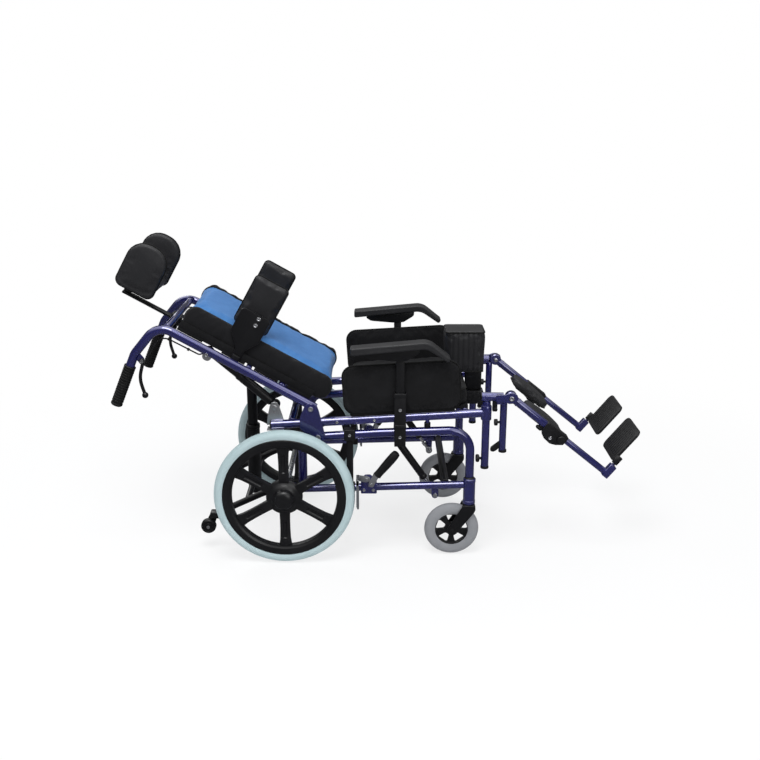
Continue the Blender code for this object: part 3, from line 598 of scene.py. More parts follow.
def make_grain():
    """The fine pebble of moulded plastic, vinyl and rubber."""
    group, given, result = new_group(
        "pebble_grain",
        [("Place", "NodeSocketVector", None), ("Scale", "NodeSocketFloat", 900.0)],
        [("Height", "NodeSocketFloat"), ("Tone", "NodeSocketFloat")])
    cells = group.nodes.new("ShaderNodeTexVoronoi")
    cells.feature = "SMOOTH_F1"
    group.links.new(given.outputs["Place"], cells.inputs["Vector"])
    group.links.new(given.outputs["Scale"], cells.inputs["Scale"])
    uneven = noise(group, given.outputs["Place"], given.outputs["Scale"], 2.0, 0.5)
    height = math_node(group, "ADD", cells.outputs["Distance"], math_node(group, "MULTIPLY", uneven, 0.5))
    tone = noise(group, given.outputs["Place"], 14.0, 4.0, 0.6)
    group.links.new(height, result.inputs["Height"])
    group.links.new(tone, result.inputs["Tone"])
    return group


def threads(tree, place):
    """Round ridges that lie side by side, as a sine wave with its troughs turned up."""
    wave = math_node(tree, "SINE", math_node(tree, "MULTIPLY", place, math.pi), 0.0)
    return math_node(tree, "ABSOLUTE", wave, 0.0)


def make_weave():
    """Crossed threads: Height rises on each thread, one output marks the grooves between threads for painted
    shade, and Tone varies at random.
    """
    group, given, result = new_group(
        "crossed_threads",
        [("Place", "NodeSocketVector", None), ("Threads", "NodeSocketFloat", 520.0)],
        [("Height", "NodeSocketFloat"), ("GrooveShade", "NodeSocketFloat"), ("Tone", "NodeSocketFloat")])
    grid = group.nodes.new("ShaderNodeVectorMath")
    grid.operation = "SCALE"
    group.links.new(given.outputs["Place"], grid.inputs[0])
    group.links.new(given.outputs["Threads"], grid.inputs["Scale"])
    axes = group.nodes.new("ShaderNodeSeparateXYZ")
    group.links.new(grid.outputs[0], axes.inputs[0])
    along = math_node(group, "ADD", axes.outputs["X"], math_node(group, "MULTIPLY", axes.outputs["Z"], 0.7))
    across = math_node(group, "ADD", axes.outputs["Y"], math_node(group, "MULTIPLY", axes.outputs["Z"], -0.7))
    warp, weft = threads(group, along), threads(group, across)
    height = math_node(group, "MAXIMUM", warp, weft)
    # Low where either thread dips, between the threads: this marks the grooves that take painted shade.
    low = math_node(group, "MULTIPLY", warp, weft)
    tone = noise(group, given.outputs["Place"], 22.0, 5.0, 0.65)
    group.links.new(height, result.inputs["Height"])
    group.links.new(low, result.inputs["GrooveShade"])
    group.links.new(tone, result.inputs["Tone"])
    return group


edge_wear, pebble_grain, crossed_threads = make_wear(), make_grain(), make_weave()
print("effects:", [group.name for group in (edge_wear, pebble_grain, crossed_threads)])

# %% [markdown]
# A material is then a Principled shader, one or two effects and a few colours. Paint has
# a clear coat over metal flake, moulded parts take the pebble, cloth takes the threads
# with a little sheen. Colours vary a little over each surface, as dust and handling do.

# %% Tools for materials


def new_material(name, roughness, metallic=0.0, **sockets):
    """A material with its Principled shader and the object's own coordinates."""
    made = bpy.data.materials.new(name)
    made.use_nodes = True
    tree = made.node_tree
    shader = tree.nodes["Principled BSDF"]
    shader.inputs["Roughness"].default_value = roughness
    shader.inputs["Metallic"].default_value = metallic
    for label, value in sockets.items():
        shader.inputs[label.replace("_", " ")].default_value = value
    place = tree.nodes.new("ShaderNodeTexCoord").outputs["Object"]
    return made, tree, shader, place


def use_effect(tree, group, place, **values):
    """Place an effect in a material, with its own numbers."""
    node = tree.nodes.new("ShaderNodeGroup")
    node.node_tree = group
    tree.links.new(place, node.inputs["Place"])
    for label, value in values.items():
        node.inputs[label].default_value = value
    return node.outputs


def blend_colours(tree, share, first, second):
    """Mix two colours or colour sockets by a share."""
    node = tree.nodes.new("ShaderNodeMix")
    node.data_type = "RGBA"
    tree.links.new(share, node.inputs["Factor"])
    for socket, value in ((node.inputs[6], first), (node.inputs[7], second)):
        if isinstance(value, tuple):
            socket.default_value = (*value, 1.0)
        else:
            tree.links.new(value, socket)
    return node.outputs[2]


def raise_surface(tree, shader, height, depth):
    """Feed a height to the shader's normal."""
    bump = tree.nodes.new("ShaderNodeBump")
    bump.inputs["Distance"].default_value = depth
    bump.inputs["Strength"].default_value = 0.6
    tree.links.new(height, bump.inputs["Height"])
    tree.links.new(bump.outputs[0], shader.inputs["Normal"])


# %% Paint, plating and bare metal


def painted(name, colour, worn, roughness, metallic, coat, amount, shine=0.5, coat_index=1.5):
    """Sprayed paint with a clear coat, faint ripple and chipped edges."""
    made, tree, shader, place = new_material(name, roughness, metallic, Coat_Weight=coat,
                                             Coat_Roughness=0.07, Coat_IOR=coat_index,
                                             Specular_IOR_Level=shine)
    wear = use_effect(tree, edge_wear, place, Scale=150.0, Amount=amount)
    deeper = tuple(value * 0.72 for value in colour)
    body = blend_colours(tree, wear["Patch"], colour, deeper)
    tree.links.new(blend_colours(tree, wear["Edge"], body, worn), shader.inputs["Base Color"])
    rough = math_node(tree, "ADD", math_node(tree, "MULTIPLY", wear["Patch"], 0.10), roughness - 0.05)
    tree.links.new(rough, shader.inputs["Roughness"])
    raise_surface(tree, shader, wear["Height"], 0.00002)
    return made


indigo_paint = painted("indigo_frame_paint", (0.016, 0.017, 0.145), (0.16, 0.16, 0.36), 0.20, 0.50, 1.0, 0.35,
                       coat_index=1.8)
black_paint = painted("black_bracket_paint", (0.006, 0.006, 0.007), (0.05, 0.05, 0.05), 0.38, 0.0, 0.12, 0.35,
                      0.25)


def plated(name, colour, roughness):
    """Bright plating with fine brushed lines and dull patches."""
    made, tree, shader, place = new_material(name, roughness, 1.0)
    wear = use_effect(tree, edge_wear, place, Scale=90.0, Amount=0.3)
    duller = tuple(value * 0.62 for value in colour)
    tree.links.new(blend_colours(tree, wear["Patch"], colour, duller), shader.inputs["Base Color"])
    rough = math_node(tree, "ADD", math_node(tree, "MULTIPLY", wear["Patch"], 0.16), roughness - 0.04)
    tree.links.new(rough, shader.inputs["Roughness"])
    raise_surface(tree, shader, wear["Height"], 0.00004)
    return made


bright_plate = plated("bright_plating", (0.80, 0.81, 0.83), 0.24)
grey_zinc = plated("grey_zinc", (0.56, 0.58, 0.61), 0.38)

# %% Moulded plastic, vinyl and rubber


def moulded(name, colour, roughness, scale, depth, dust, coat=0.0, shine=0.5):
    """Moulded plastic or rubber with a pebble surface and a little settled dust."""
    made, tree, shader, place = new_material(name, roughness, 0.0, Coat_Weight=coat, Coat_Roughness=0.3,
                                             Specular_IOR_Level=shine)
    grain = use_effect(tree, pebble_grain, place, Scale=scale)
    wear = use_effect(tree, edge_wear, place, Scale=70.0, Amount=0.55)
    dusty = tuple(value + dust for value in colour)
    mottle = stretch(tree, grain["Tone"], 0.35, 0.8)
    body = blend_colours(tree, mottle, colour, dusty)
    lighter = tuple(value * 1.5 + dust for value in colour)
    tree.links.new(blend_colours(tree, wear["Edge"], body, lighter), shader.inputs["Base Color"])
    rough = math_node(tree, "ADD", math_node(tree, "MULTIPLY", mottle, 0.12), roughness - 0.06)
    tree.links.new(rough, shader.inputs["Roughness"])
    raise_surface(tree, shader, grain["Height"], depth)
    return made


moulded_black = moulded("moulded_black", (0.006, 0.006, 0.007), 0.48, 1100.0, 0.00006, 0.003, 0.0, 0.25)
wheel_black = moulded("wheel_black", (0.006, 0.006, 0.007), 0.36, 900.0, 0.00005, 0.003, 0.1, 0.3)
grip_rubber = moulded("grip_rubber", (0.006, 0.006, 0.006), 0.62, 700.0, 0.0001, 0.003, 0.0, 0.22)
arm_vinyl = moulded("armrest_vinyl", (0.017, 0.017, 0.0185), 0.46, 620.0, 0.00012, 0.004, 0.0, 0.22)
tyre_rubber = moulded("tyre_rubber", (0.42, 0.53, 0.545), 0.66, 1300.0, 0.00006, -0.05)
castor_rubber = moulded("castor_rubber", (0.25, 0.255, 0.268), 0.66, 1300.0, 0.00006, -0.04)

# %% Cloth


def cloth(name, colour, shade, threads, depth, roughness, sheen):
    """Woven cover cloth: crossed threads, an uneven tone, painted shade in the grooves between threads and a
    soft sheen.
    """
    made, tree, shader, place = new_material(name, roughness, 0.0, Sheen_Weight=sheen, Sheen_Roughness=0.5,
                                             Specular_IOR_Level=0.12)
    weave = use_effect(tree, crossed_threads, place, Threads=threads)
    mottle = stretch(tree, weave["Tone"], 0.3, 0.75)
    body = blend_colours(tree, mottle, colour, shade)
    # The grooves between threads are darkened with this colour: painted shade, not the cloth's own colour.
    groove_shade_colour = tuple(value * 0.55 for value in shade)
    painted_groove_shade = stretch(tree, weave["GrooveShade"], 0.0, 0.25, 0.6, 0.0)
    tree.links.new(blend_colours(tree, painted_groove_shade, body, groove_shade_colour), shader.inputs["Base Color"])
    raise_surface(tree, shader, weave["Height"], depth)
    return made


black_cloth = cloth("black_cover_cloth", (0.007, 0.007, 0.0075), (0.011, 0.011, 0.012), 640.0, 0.00022, 0.85,
                    0.03)
blue_cloth = cloth("blue_cover_cloth", (0.050, 0.172, 0.430), (0.068, 0.215, 0.500), 520.0, 0.00025, 0.80,
                   0.12)
piping_cloth = cloth("piping_cloth", (0.005, 0.005, 0.005), (0.008, 0.008, 0.008), 900.0, 0.00012, 0.75, 0.03)
print("finishes:", len(bpy.data.materials))

# %% [markdown]
# Rear wheel. The real one is a six-spoked nylon moulding with a solid pale tyre stretched
# on it. The rim, hub and tyre are turned shapes, so each is a half profile spun about the
# axle. One spoke is shaped from a cube, and copied round the hub in steps of 60 degrees.

# %% Rim, hub and tyre
REAR_Z = 0.200
WHEEL_Y = 0.250
TYRE_INNER = 0.1756

rear_place = facing_out((0.0, WHEEL_Y, REAR_Z))
rim = turned("rim", [
    (0.1500, -0.0095), (0.1492, -0.0060), (0.1492, 0.0060), (0.1500, 0.0095), (0.1535, 0.0105),
    (0.1560, 0.0128), (0.1590, 0.0142), (0.1735, 0.0142), (0.1750, 0.0130), (0.1752, 0.0090),
    (0.1752, -0.0090), (0.1750, -0.0130), (0.1735, -0.0142), (0.1590, -0.0142), (0.1560, -0.0128),
    (0.1535, -0.0105)], rear_place, 96, closed=True)
hub = turned("hub", [
    (0.0, -0.0280), (0.0200, -0.0280), (0.0235, -0.0260), (0.0290, -0.0130), (0.0340, -0.0100),
    (0.0500, -0.0090), (0.0520, -0.0060), (0.0520, 0.0030), (0.0500, 0.0055), (0.0440, 0.0075),
    (0.0380, 0.0130), (0.0330, 0.0165), (0.0300, 0.0180), (0.0285, 0.0210), (0.0280, 0.0290),
    (0.0265, 0.0325), (0.0225, 0.0360), (0.0160, 0.0385), (0.0080, 0.0400), (0.0, 0.0404)], rear_place, 64)
tyre = turned("tyre", [
    (TYRE_INNER, -0.0138), (TYRE_INNER, 0.0138), (0.1785, 0.0150), (0.1815, 0.0162), (0.1850, 0.0169),
    (0.1885, 0.0167), (0.1918, 0.0155), (0.1944, 0.0134), (0.1950, 0.0118), (0.1966, 0.0112),
    (0.1975, 0.0090), (0.1986, 0.0062), (0.1990, 0.0050), (0.1979, 0.0044), (0.1979, 0.0032),
    (0.1997, 0.0026), (0.2000, 0.0), (0.1997, -0.0026), (0.1979, -0.0032), (0.1979, -0.0044),
    (0.1990, -0.0050), (0.1986, -0.0062), (0.1975, -0.0090), (0.1966, -0.0112), (0.1950, -0.0118),
    (0.1944, -0.0134), (0.1918, -0.0155), (0.1885, -0.0167), (0.1850, -0.0169), (0.1815, -0.0162),
    (0.1785, -0.0150)], rear_place, 128, closed=True)
print("turned:", len(rim.data.polygons), len(hub.data.polygons), len(tyre.data.polygons), "faces")

# %% Spokes


def shape_spoke():
    """One spoke, standing along local Y: wide at the rim, waisted, with a hollow face."""
    start_fresh()
    bpy.ops.mesh.primitive_cube_add(size=1.0, location=(0.0, 0.1, 0.0))
    spoke = bpy.context.object
    spoke.scale = (0.030, 0.116, 0.014)
    bake_place(spoke)
    start_editing("FACE")
    bpy.ops.mesh.subdivide(number_cuts=3)
    shape = bmesh.from_edit_mesh(spoke.data)
    for vert in shape.verts:
        reach = (vert.co.y - 0.042) / 0.116
        vert.co.x *= 0.94 + 0.62 * max(0.0, reach - 0.62) ** 1.5 * 2.4 + 0.22 * max(0.0, 0.25 - reach)
        vert.co.z *= 1.0 + 0.25 * max(0.0, 0.35 - reach)
    shape.faces.ensure_lookup_table()
    for face in shape.faces:
        middle = face.calc_center_median()
        face.select_set(abs(face.normal.z) > 0.9 and abs(middle.x) < 0.0085 and 0.064 < middle.y < 0.136)
    bmesh.update_edit_mesh(spoke.data)
    bpy.ops.mesh.inset(thickness=0.0018)
    bpy.ops.mesh.inset(thickness=0.0016, depth=-0.0030)
    stop_editing()
    return soften_edges(spoke, 0.0016, 2, 40.0)


pattern = shape_spoke()
spokes = []
for turn in range(6):
    start_fresh()
    spoke = pattern.copy()
    spoke.data = pattern.data.copy()
    bpy.context.collection.objects.link(spoke)
    spoke.matrix_world = rear_place @ rotation(60.0 * turn, "Z")
    spokes.append(smooth(bake_place(spoke)))
bpy.data.objects.remove(pattern, do_unlink=True)
rim_and_hub = merge("rear_rim", rim, hub, *spokes)
valve = block("valve", (-0.004, 0.004), (-0.252, -0.246), (0.0485, 0.0515), 0.001)
rim_and_hub = merge("rear_rim", rim_and_hub, valve)
both_sides(rim_and_hub, "wheel_rim", "rear_wheel", wheel_black, ["rear_rim"])
both_sides(tyre, "wheel_tyre", "rear_wheel", tyre_rubber, ["rear_tyre"])

# %% [markdown]
# Front castor. A grey solid tyre is moulded round a black hub with five windows, and the
# wheel turns in a pressed fork whose stem goes up into the frame. The hub's disc is spun,
# and each window is cut by a four-sided wedge with round corners. The fork's two legs are
# drawn flat, then joined by a bent crown.

# %% Castor tyre and hub
CASTOR_X, CASTOR_Z, CASTOR_Y = 0.479, 0.079, 0.200
STEM_X = 0.528

castor_place = facing_out((CASTOR_X, CASTOR_Y, CASTOR_Z))
castor_tyre = turned("castor_tyre", [
    (0.0480, -0.0095), (0.0480, 0.0095), (0.0515, 0.0112), (0.0560, 0.0124), (0.0610, 0.0130),
    (0.0655, 0.0128), (0.0700, 0.0116), (0.0738, 0.0094), (0.0766, 0.0066), (0.0782, 0.0034), (0.0790, 0.0),
    (0.0782, -0.0034), (0.0766, -0.0066), (0.0738, -0.0094), (0.0700, -0.0116), (0.0655, -0.0128),
    (0.0610, -0.0130), (0.0560, -0.0124), (0.0515, -0.0112)], castor_place, 80, closed=True)
castor_hub = turned("castor_hub", two_ends([(0.0044, -0.0138), (0.0125, -0.0138), (0.0140, -0.0125),
                                            (0.0150, -0.0070), (0.0180, -0.0052), (0.0420, -0.0048),
                                            (0.0440, -0.0078), (0.0480, -0.0088)]), castor_place, 80,
                    closed=True)


def cut_away(obj, cutter):
    """Cut one shape out of another, and throw the cutter away."""
    modifier = obj.modifiers.new("window", "BOOLEAN")
    modifier.operation = "DIFFERENCE"
    modifier.solver = "EXACT"
    modifier.object = cutter
    apply_all(obj)
    bpy.data.objects.remove(cutter, do_unlink=True)
    return obj


WINDOW_CORNER = 0.0042


def window_cutter(place, angle, near, far, half_near, half_far):
    """A wedge with round corners, lying across the hub between two radii."""
    corners = [(near, -half_near), (far, -half_far), (far, half_far), (near, half_near)]
    outline = []
    for before, corner, after in zip(corners[-1:] + corners[:-1], corners, corners[1:] + corners[:1]):
        corner, before, after = Vector(corner), Vector(before), Vector(after)
        to_before, to_after = (before - corner).normalized(), (after - corner).normalized()
        for share in (0.0, 0.5, 1.0):
            near_edge = (corner + to_before * WINDOW_CORNER * (1.0 - share)
                         + to_after * WINDOW_CORNER * share)
            outline.append(corner.lerp(near_edge, 1.0 if share != 0.5 else 0.62))
    wedge = draw_chain([(x, y, -0.03) for x, y in outline])
    bpy.ops.mesh.edge_face_add()
    bpy.ops.mesh.select_all(action="SELECT")
    extrude((0.0, 0.0, 0.06))
    stop_editing()
    outward(bake_place(wedge))
    wedge.matrix_world = place @ rotation(angle, "Z")
    return bake_place(wedge)


for window in range(5):
    cutter = window_cutter(castor_place, 90.0 + 72.0 * window, 0.0195, 0.0450, 0.0068, 0.0175)
    cut_away(castor_hub, cutter)
soften_edges(castor_hub, 0.0008, 2, 35.0)
smooth(castor_hub, 32.0)
both_sides(castor_hub, "castor_hub", "castor_roller", wheel_black, ["castor_wheel"])
both_sides(castor_tyre, "castor_tyre", "castor_roller", castor_rubber, ["castor_wheel"])

# %% Castor fork
castor_axle = (CASTOR_X, CASTOR_Z)
fork_outline = [(0.5085, 0.1570), (0.5455, 0.1570), (0.5462, 0.1440), (0.5430, 0.1360), (0.4965, 0.0760),
                (0.4930, 0.0700), (0.4870, 0.0655), (0.4790, 0.0638), (0.4712, 0.0658), (0.4664, 0.0715),
                (0.4650, 0.0790), (0.4660, 0.0850), (0.5050, 0.1480)]
fork_legs = [flat_plate("fork_leg", fork_outline, (-CASTOR_Y + low, -CASTOR_Y + low + 0.0045), 0.0014, 3)
             for low in (-0.0212, 0.0167)]
crown = block("fork_crown", (0.5100, 0.5455), (-CASTOR_Y - 0.0200, -CASTOR_Y + 0.0200), (0.1515, 0.1572),
              0.0018, 3)
stem = bar("fork_stem", (STEM_X, -CASTOR_Y, 0.154), (STEM_X, -CASTOR_Y, 0.221), 0.0058)
fork = merge("castor_fork", *fork_legs, crown, stem)
both_sides(fork, "fork", "castor_swivel", black_paint, ["castor_fork"])
nuts = [pin("fork_nut", castor_axle, -CASTOR_Y + low, -CASTOR_Y + high, 0.0068, 6,
            0.0006) for low, high in ((-0.0252, -0.0210), (0.0210, 0.0252))]
bolt = pin("fork_bolt", castor_axle, -CASTOR_Y - 0.0262, -CASTOR_Y + 0.0262, 0.0036)
washers = [pin("fork_washer", castor_axle, -CASTOR_Y + low, -CASTOR_Y + high, 0.0088, 32,
               0.0003) for low, high in ((-0.0216, -0.0208), (0.0208, 0.0216))]
both_sides(merge("fork_hardware", *nuts, bolt, *washers), "fork_hardware", "castor_swivel", black_paint)
print("castors done")

# %% [markdown]
# Side frame. It is one bent tube, from the rear upright over the top rail and down to the
# castor, with a thinner lower rail and a black square upright in the middle. Welds show
# as small fillets, so each welded end gets a low collar. The axle runs through a boss.

# %% Bent tube and rails
RAIL_R = 0.0125
LOWER_RAIL_R = 0.0110


def weld_bead(name, centre, axis, radius, bead=0.0016):
    """The low ring that a weld leaves round a tube's end."""
    start_fresh()
    bpy.ops.mesh.primitive_torus_add(major_radius=radius, minor_radius=bead, major_segments=36,
                                     minor_segments=8, location=centre,
                                     rotation=aimed(Vector(axis).normalized()))
    bead_ring = bake_place(bpy.context.object)
    bead_ring.name = name
    return smooth(bead_ring, 80.0)


y = -FRAME_Y
frame_tube = bent_tube("frame_tube", [
    (0.050, y, 0.202), (0.050, y, 0.3575), (0.265, y, 0.3720), (0.528, y, 0.3805), (0.528, y, 0.1905)],
    [0.030, 0.9, 0.060], RAIL_R, 32, 10)
lower_rail = bent_tube("lower_rail", [(0.0, y, 0.200), (0.515, y, 0.2136)], [], LOWER_RAIL_R, 28)
boss = turned("axle_boss", two_ends([(0.0086, -0.0170), (0.0165, -0.0170), (0.0180, -0.0155)]),
              facing_out((0.0, 0.1965, REAR_Z)), 40, closed=True)
housing = turned("castor_housing", [
    (0.0070, -0.0390), (0.0165, -0.0390), (0.0180, -0.0375), (0.0180, -0.0290), (0.0172, -0.0280),
    (0.0172, 0.0270), (0.0180, 0.0280), (0.0180, 0.0365), (0.0160, 0.0392), (0.0070, 0.0392)],
    Matrix.Translation((STEM_X, -CASTOR_Y, 0.197)), 40, closed=True)
cap = turned("housing_cap", [(0.0, 0.0385), (0.0150, 0.0385), (0.0155, 0.0400), (0.0120, 0.0425),
                             (0.0, 0.0432)],
             Matrix.Translation((STEM_X, -CASTOR_Y, 0.197)), 32)
foot_lug = flat_plate("strut_lug", [(0.4190, 0.2130), (0.4410, 0.2135), (0.4400, 0.1790), (0.4370, 0.1715),
                                    (0.4300, 0.1685), (0.4230, 0.1715), (0.4200, 0.1790)],
                      (-0.1860, -0.1935), 0.001)
beads = [weld_bead("weld", (0.050, y, 0.2125), (0, 0, 1), 0.0125),
         weld_bead("weld", (0.5155, y, 0.2136), (1, 0, 0.02), 0.0112),
         weld_bead("weld", (0.0170, y, 0.2004), (1, 0, 0.02), 0.0112)]
side_frame = merge("side_frame", frame_tube, lower_rail, boss, housing, foot_lug, *beads)
both_sides(side_frame, "side_frame", "base", indigo_paint, ["base_side_frame"])

# %% Middle upright, caps and fixings
TILT_PIN = (0.096, 0.365)
TILT_FOOT = (0.430, 0.180)
upright = block("middle_upright", (0.1755, 0.1945), (-0.1885, -0.2015), (0.2080, 0.3600), 0.0016, 3)
upper_clip = block("upright_clip", (0.1690, 0.2010), (-0.1800, -0.2098), (0.3520, 0.3850), 0.0022, 3)
lower_clip = block("upright_foot", (0.1710, 0.1990), (-0.1825, -0.2075), (0.1925, 0.2185), 0.0020, 3)
upright = merge("middle_upright", upright, upper_clip, lower_clip, cap)
both_sides(upright, "middle_upright", "base", moulded_black)
fixings = [screw_head("screw", (0.185, -0.2098, 0.3690), (0, -1, 0), 0.0048),
           screw_head("screw", (0.185, -0.2075, 0.2055), (0, -1, 0), 0.0042),
           screw_head("tilt_screw", at(TILT_PIN, -0.2135), (0, -1, 0), 0.0075, 0.0042),
           pin("tilt_washer", TILT_PIN, -0.2060, -0.2083, 0.0105, 32, 0.0004),
           pin("strut_pin", TILT_FOOT, -0.1575, -0.1865, 0.0038),
           pin("strut_nut", TILT_FOOT, -0.1935, -0.1985, 0.0070, 6, 0.0006)]
both_sides(merge("frame_screws", *fixings), "frame_screws", "base", bright_plate)
cross_tube = pin("cross_tube", (0.460, 0.2122), -0.1838, 0.1838, 0.0110, 28)
collars = [weld_bead("weld", (0.460, side * 0.1842, 0.2122), (0, 1, 0), 0.0112) for side in (NEAR, FAR)]
carry(merge("front_cross_tube", cross_tube, *collars), "base", black_paint, "base_cross_tube")
axle = pin("axle", (0.0, REAR_Z), -0.2862, 0.2862, 0.0080, 32, 0.0015)
carry(axle, "base", bright_plate, "rear_axle")
print("side frames done")

# %% [markdown]
# Tail frame. Two black tubes are clamped on the axle and run back to small rollers that
# stop the chair from tipping. A cross tube joins them, and a telescopic post stands on it
# behind the seat.

# %% Tail tubes and rear post
ROLLER_AXLE = (-0.234, 0.072)
TAIL_Y = 0.170
POST_X = -0.115
tail_parts = []
for side in (NEAR, FAR):
    ty = side * TAIL_Y
    tail_parts.append(bent_tube("tail_tube", [(-0.008, ty, 0.188), (-0.060, ty, 0.181), (-0.150, ty, 0.139),
                                              (-0.213, ty, 0.108)], [0.12, 0.30], 0.0095, 24, 6))
    tail_parts.append(block("tail_clamp", (-0.0200, 0.0200), (side * 0.1602, side * 0.1778), (0.178, 0.222),
                            0.003, 3))
    tail_parts.append(block("tail_socket", (-0.2270, -0.1990), (side * 0.1520, side * 0.1800),
                            (0.0980, 0.1175), 0.003, 3))
    tail_parts.append(flat_plate("roller_cheek", [
        (-0.2265, 0.1110), (-0.2050, 0.1120), (-0.2150, 0.0800), (-0.2225, 0.0655), (-0.2285, 0.0606),
        (-0.2345, 0.0592), (-0.2410, 0.0610), (-0.2455, 0.0660), (-0.2462, 0.0740)],
        (side * 0.1508, side * 0.1562), 0.0012, 3))
    tail_parts.append(pin("roller_pin", ROLLER_AXLE, side * 0.1525, side * 0.1822, 0.0040))
tail_parts.append(pin("tail_cross", (POST_X, 0.157), -0.1700, 0.1700, 0.0090, 24))
tail_parts.append(turned("post_sleeve", [
    (0.0, 0.110), (0.0185, 0.110), (0.0200, 0.1120), (0.0200, 0.3180), (0.0212, 0.3190), (0.0212, 0.3290),
    (0.0195, 0.3310), (0.0148, 0.3310), (0.0146, 0.4560), (0.0135, 0.4596), (0.0, 0.4600)],
    Matrix.Translation((POST_X, 0.0, 0.0)), 40))
carry(merge("tail_frame", *tail_parts), "base", black_paint, "anti_tip_frame")
knob = turned("post_knob", [(0.0, 0.0), (0.0045, 0.0), (0.0045, 0.010), (0.0125, 0.012), (0.0140, 0.015),
                            (0.0140, 0.020), (0.0120, 0.023), (0.0, 0.0245)],
              Matrix.Translation((POST_X, 0.0195, 0.300)) @ rotation(-90.0, "X"), 8)
carry(soften_edges(knob, 0.001, 2, 30.0), "base", moulded_black)

roller_place = facing_out(at(ROLLER_AXLE, TAIL_Y))
roller = turned("tail_roller", two_ends([(0.0044, -0.0096), (0.0095, -0.0096), (0.0105, -0.0080),
                                         (0.0150, -0.0080), (0.0165, -0.0098), (0.0185, -0.0098),
                                         (0.0208, -0.0080), (0.0220, -0.0050)]), roller_place, 48,
                closed=True)
both_sides(roller, "tail_roller", "anti_tip_roller", moulded_black, ["anti_tip_wheel"])
roller_caps = pin("roller_cap", ROLLER_AXLE, -0.1806, -0.1832, 0.0056, 6, 0.0005)
both_sides(roller_caps, "roller_cap", "base", bright_plate)

# %% [markdown]
# Seat frame. Two rails and three cross tubes tilt about a pin on each side frame. Every
# rail carries a hinge plate for the back, a bright clevis for the recline strut, and in
# front an upright tube that the legrest's pin drops into. Black plugs close the tubes.

# %% Rails, cross tubes and hinge plates
SEAT_SLOPE = 0.0596
CROSS_TUBE_X = (0.020, 0.262, 0.512)
RECLINE_HINGE = (0.077, 0.449)


def rail_height(x):
    """Height of the seat rail's centre line."""
    return 0.3984 + SEAT_SLOPE * x


HANGER_X = 0.5705
seat_parts = []
for x in CROSS_TUBE_X:
    seat_parts.append(bar("seat_cross", (x, -0.190, rail_height(x)), (x, 0.190, rail_height(x)), 0.0110, 28))
for side in (NEAR, FAR):
    ry = side * FRAME_Y
    seat_parts.append(bent_tube("seat_rail", [(-0.036, ry, rail_height(-0.036)),
                                              (0.562, ry, rail_height(0.562))],
                                [], RAIL_R, 32))
    for x in CROSS_TUBE_X:
        seat_parts.append(weld_bead("weld", (x, side * 0.1828, rail_height(x)), (0, 1, 0), 0.0112))
    seat_parts.append(flat_plate("hinge_plate", [
        (0.0820, 0.3500), (0.1100, 0.3500), (0.1140, 0.3570), (0.1140, 0.3800), (0.1000, 0.4420),
        (0.0950, 0.4560), (0.0870, 0.4630), (0.0700, 0.4640), (0.0600, 0.4580), (0.0470, 0.4260),
        (0.0455, 0.4150), (0.0455, 0.3900), (0.0520, 0.3850), (0.0740, 0.3560)],
        (side * 0.2087, side * 0.2133), 0.0010, 3))
    seat_parts.append(block("hinge_spacer", (0.0520, 0.1040), (side * 0.2000, side * 0.2092),
                            (0.3965, 0.4098), 0.001))
    seat_parts.append(bar("leg_socket", (HANGER_X, ry, 0.2660), (HANGER_X, ry, 0.4655), 0.0110, 32, 0.0010))
    seat_parts.append(turned("socket_collar", [(0.0104, 0.4120), (0.0144, 0.4122), (0.0150, 0.4132),
                                               (0.0150, 0.4525), (0.0142, 0.4540), (0.0104, 0.4542)],
                             Matrix.Translation((HANGER_X, ry, 0.0)), 40))
    seat_parts.append(flat_plate("strut_lug", [
        (0.3110, 0.4080), (0.3090, 0.3420), (0.3125, 0.3300), (0.3190, 0.3262), (0.3280, 0.3262),
        (0.3340, 0.3300), (0.3370, 0.3420), (0.3370, 0.4080)], (side * 0.1502, side * 0.1558), 0.001))
    seat_parts.append(block("lug_foot", (0.3100, 0.3360), (side * 0.1522, side * 0.1900), (0.4072, 0.4178),
                            0.0012))
    seat_parts.append(bar("tilt_stop", (0.405, ry, 0.3950), (0.405, ry, 0.4180), 0.0060, 20))
carry(merge("seat_tubes", *seat_parts), "seat", indigo_paint, "seat_frame")
stem_socket = [block("pommel_socket_side", (0.5140, 0.5800), span, (0.4002, 0.4398), 0.0015)
               for span in ((-0.0205, -0.0078), (0.0078, 0.0205))]
stem_socket += [block("pommel_socket_end", span, (-0.0090, 0.0090), (0.4002, 0.4398), 0.0012)
                for span in ((0.5140, 0.5382), (0.5618, 0.5800))]
carry(merge("pommel_socket", *stem_socket), "seat", black_paint)

# %% Clevis, plugs and pins on the seat frame
RECLINE_FOOT = (-0.027, 0.446)
clevis_outline = [(-0.0500, 0.3930), (0.0020, 0.3945), (-0.0050, 0.4200), (-0.0140, 0.4500),
                  (-0.0185, 0.4590), (-0.0270, 0.4618), (-0.0355, 0.4590), (-0.0400, 0.4500),
                  (-0.0470, 0.4200)]
clevis = [flat_plate("clevis", clevis_outline, (-0.1837, -0.1888), 0.0012, 3),
          pin("clevis_pin", RECLINE_FOOT, -0.1472, -0.1860, 0.0038),
          pin("clevis_nut", RECLINE_FOOT, -0.1888, -0.1940, 0.0075, 6, 0.0006),
          pin("clevis_clip", RECLINE_FOOT, -0.1462, -0.1478, 0.0060, 24, 0.0003),
          block("rail_bracket", (-0.0480, 0.0000), (-0.1805, -0.2100), (0.3838, 0.3868), 0.0008),
          pin("recline_pin", RECLINE_HINGE, -0.1885, -0.2105, 0.0038),
          screw_head("recline_screw", at(RECLINE_HINGE, -0.2133), (0, -1, 0), 0.0072, 0.0040),
          screw_head("rail_screw", (0.2550, -0.2072, 0.4136), (0, -1, 0), 0.0042, 0.0020),
          screw_head("rail_screw", (0.1500, -0.2072, 0.4074), (0, -1, 0), 0.0042, 0.0020)]
both_sides(merge("seat_hardware", *clevis), "seat_hardware", "seat", bright_plate)
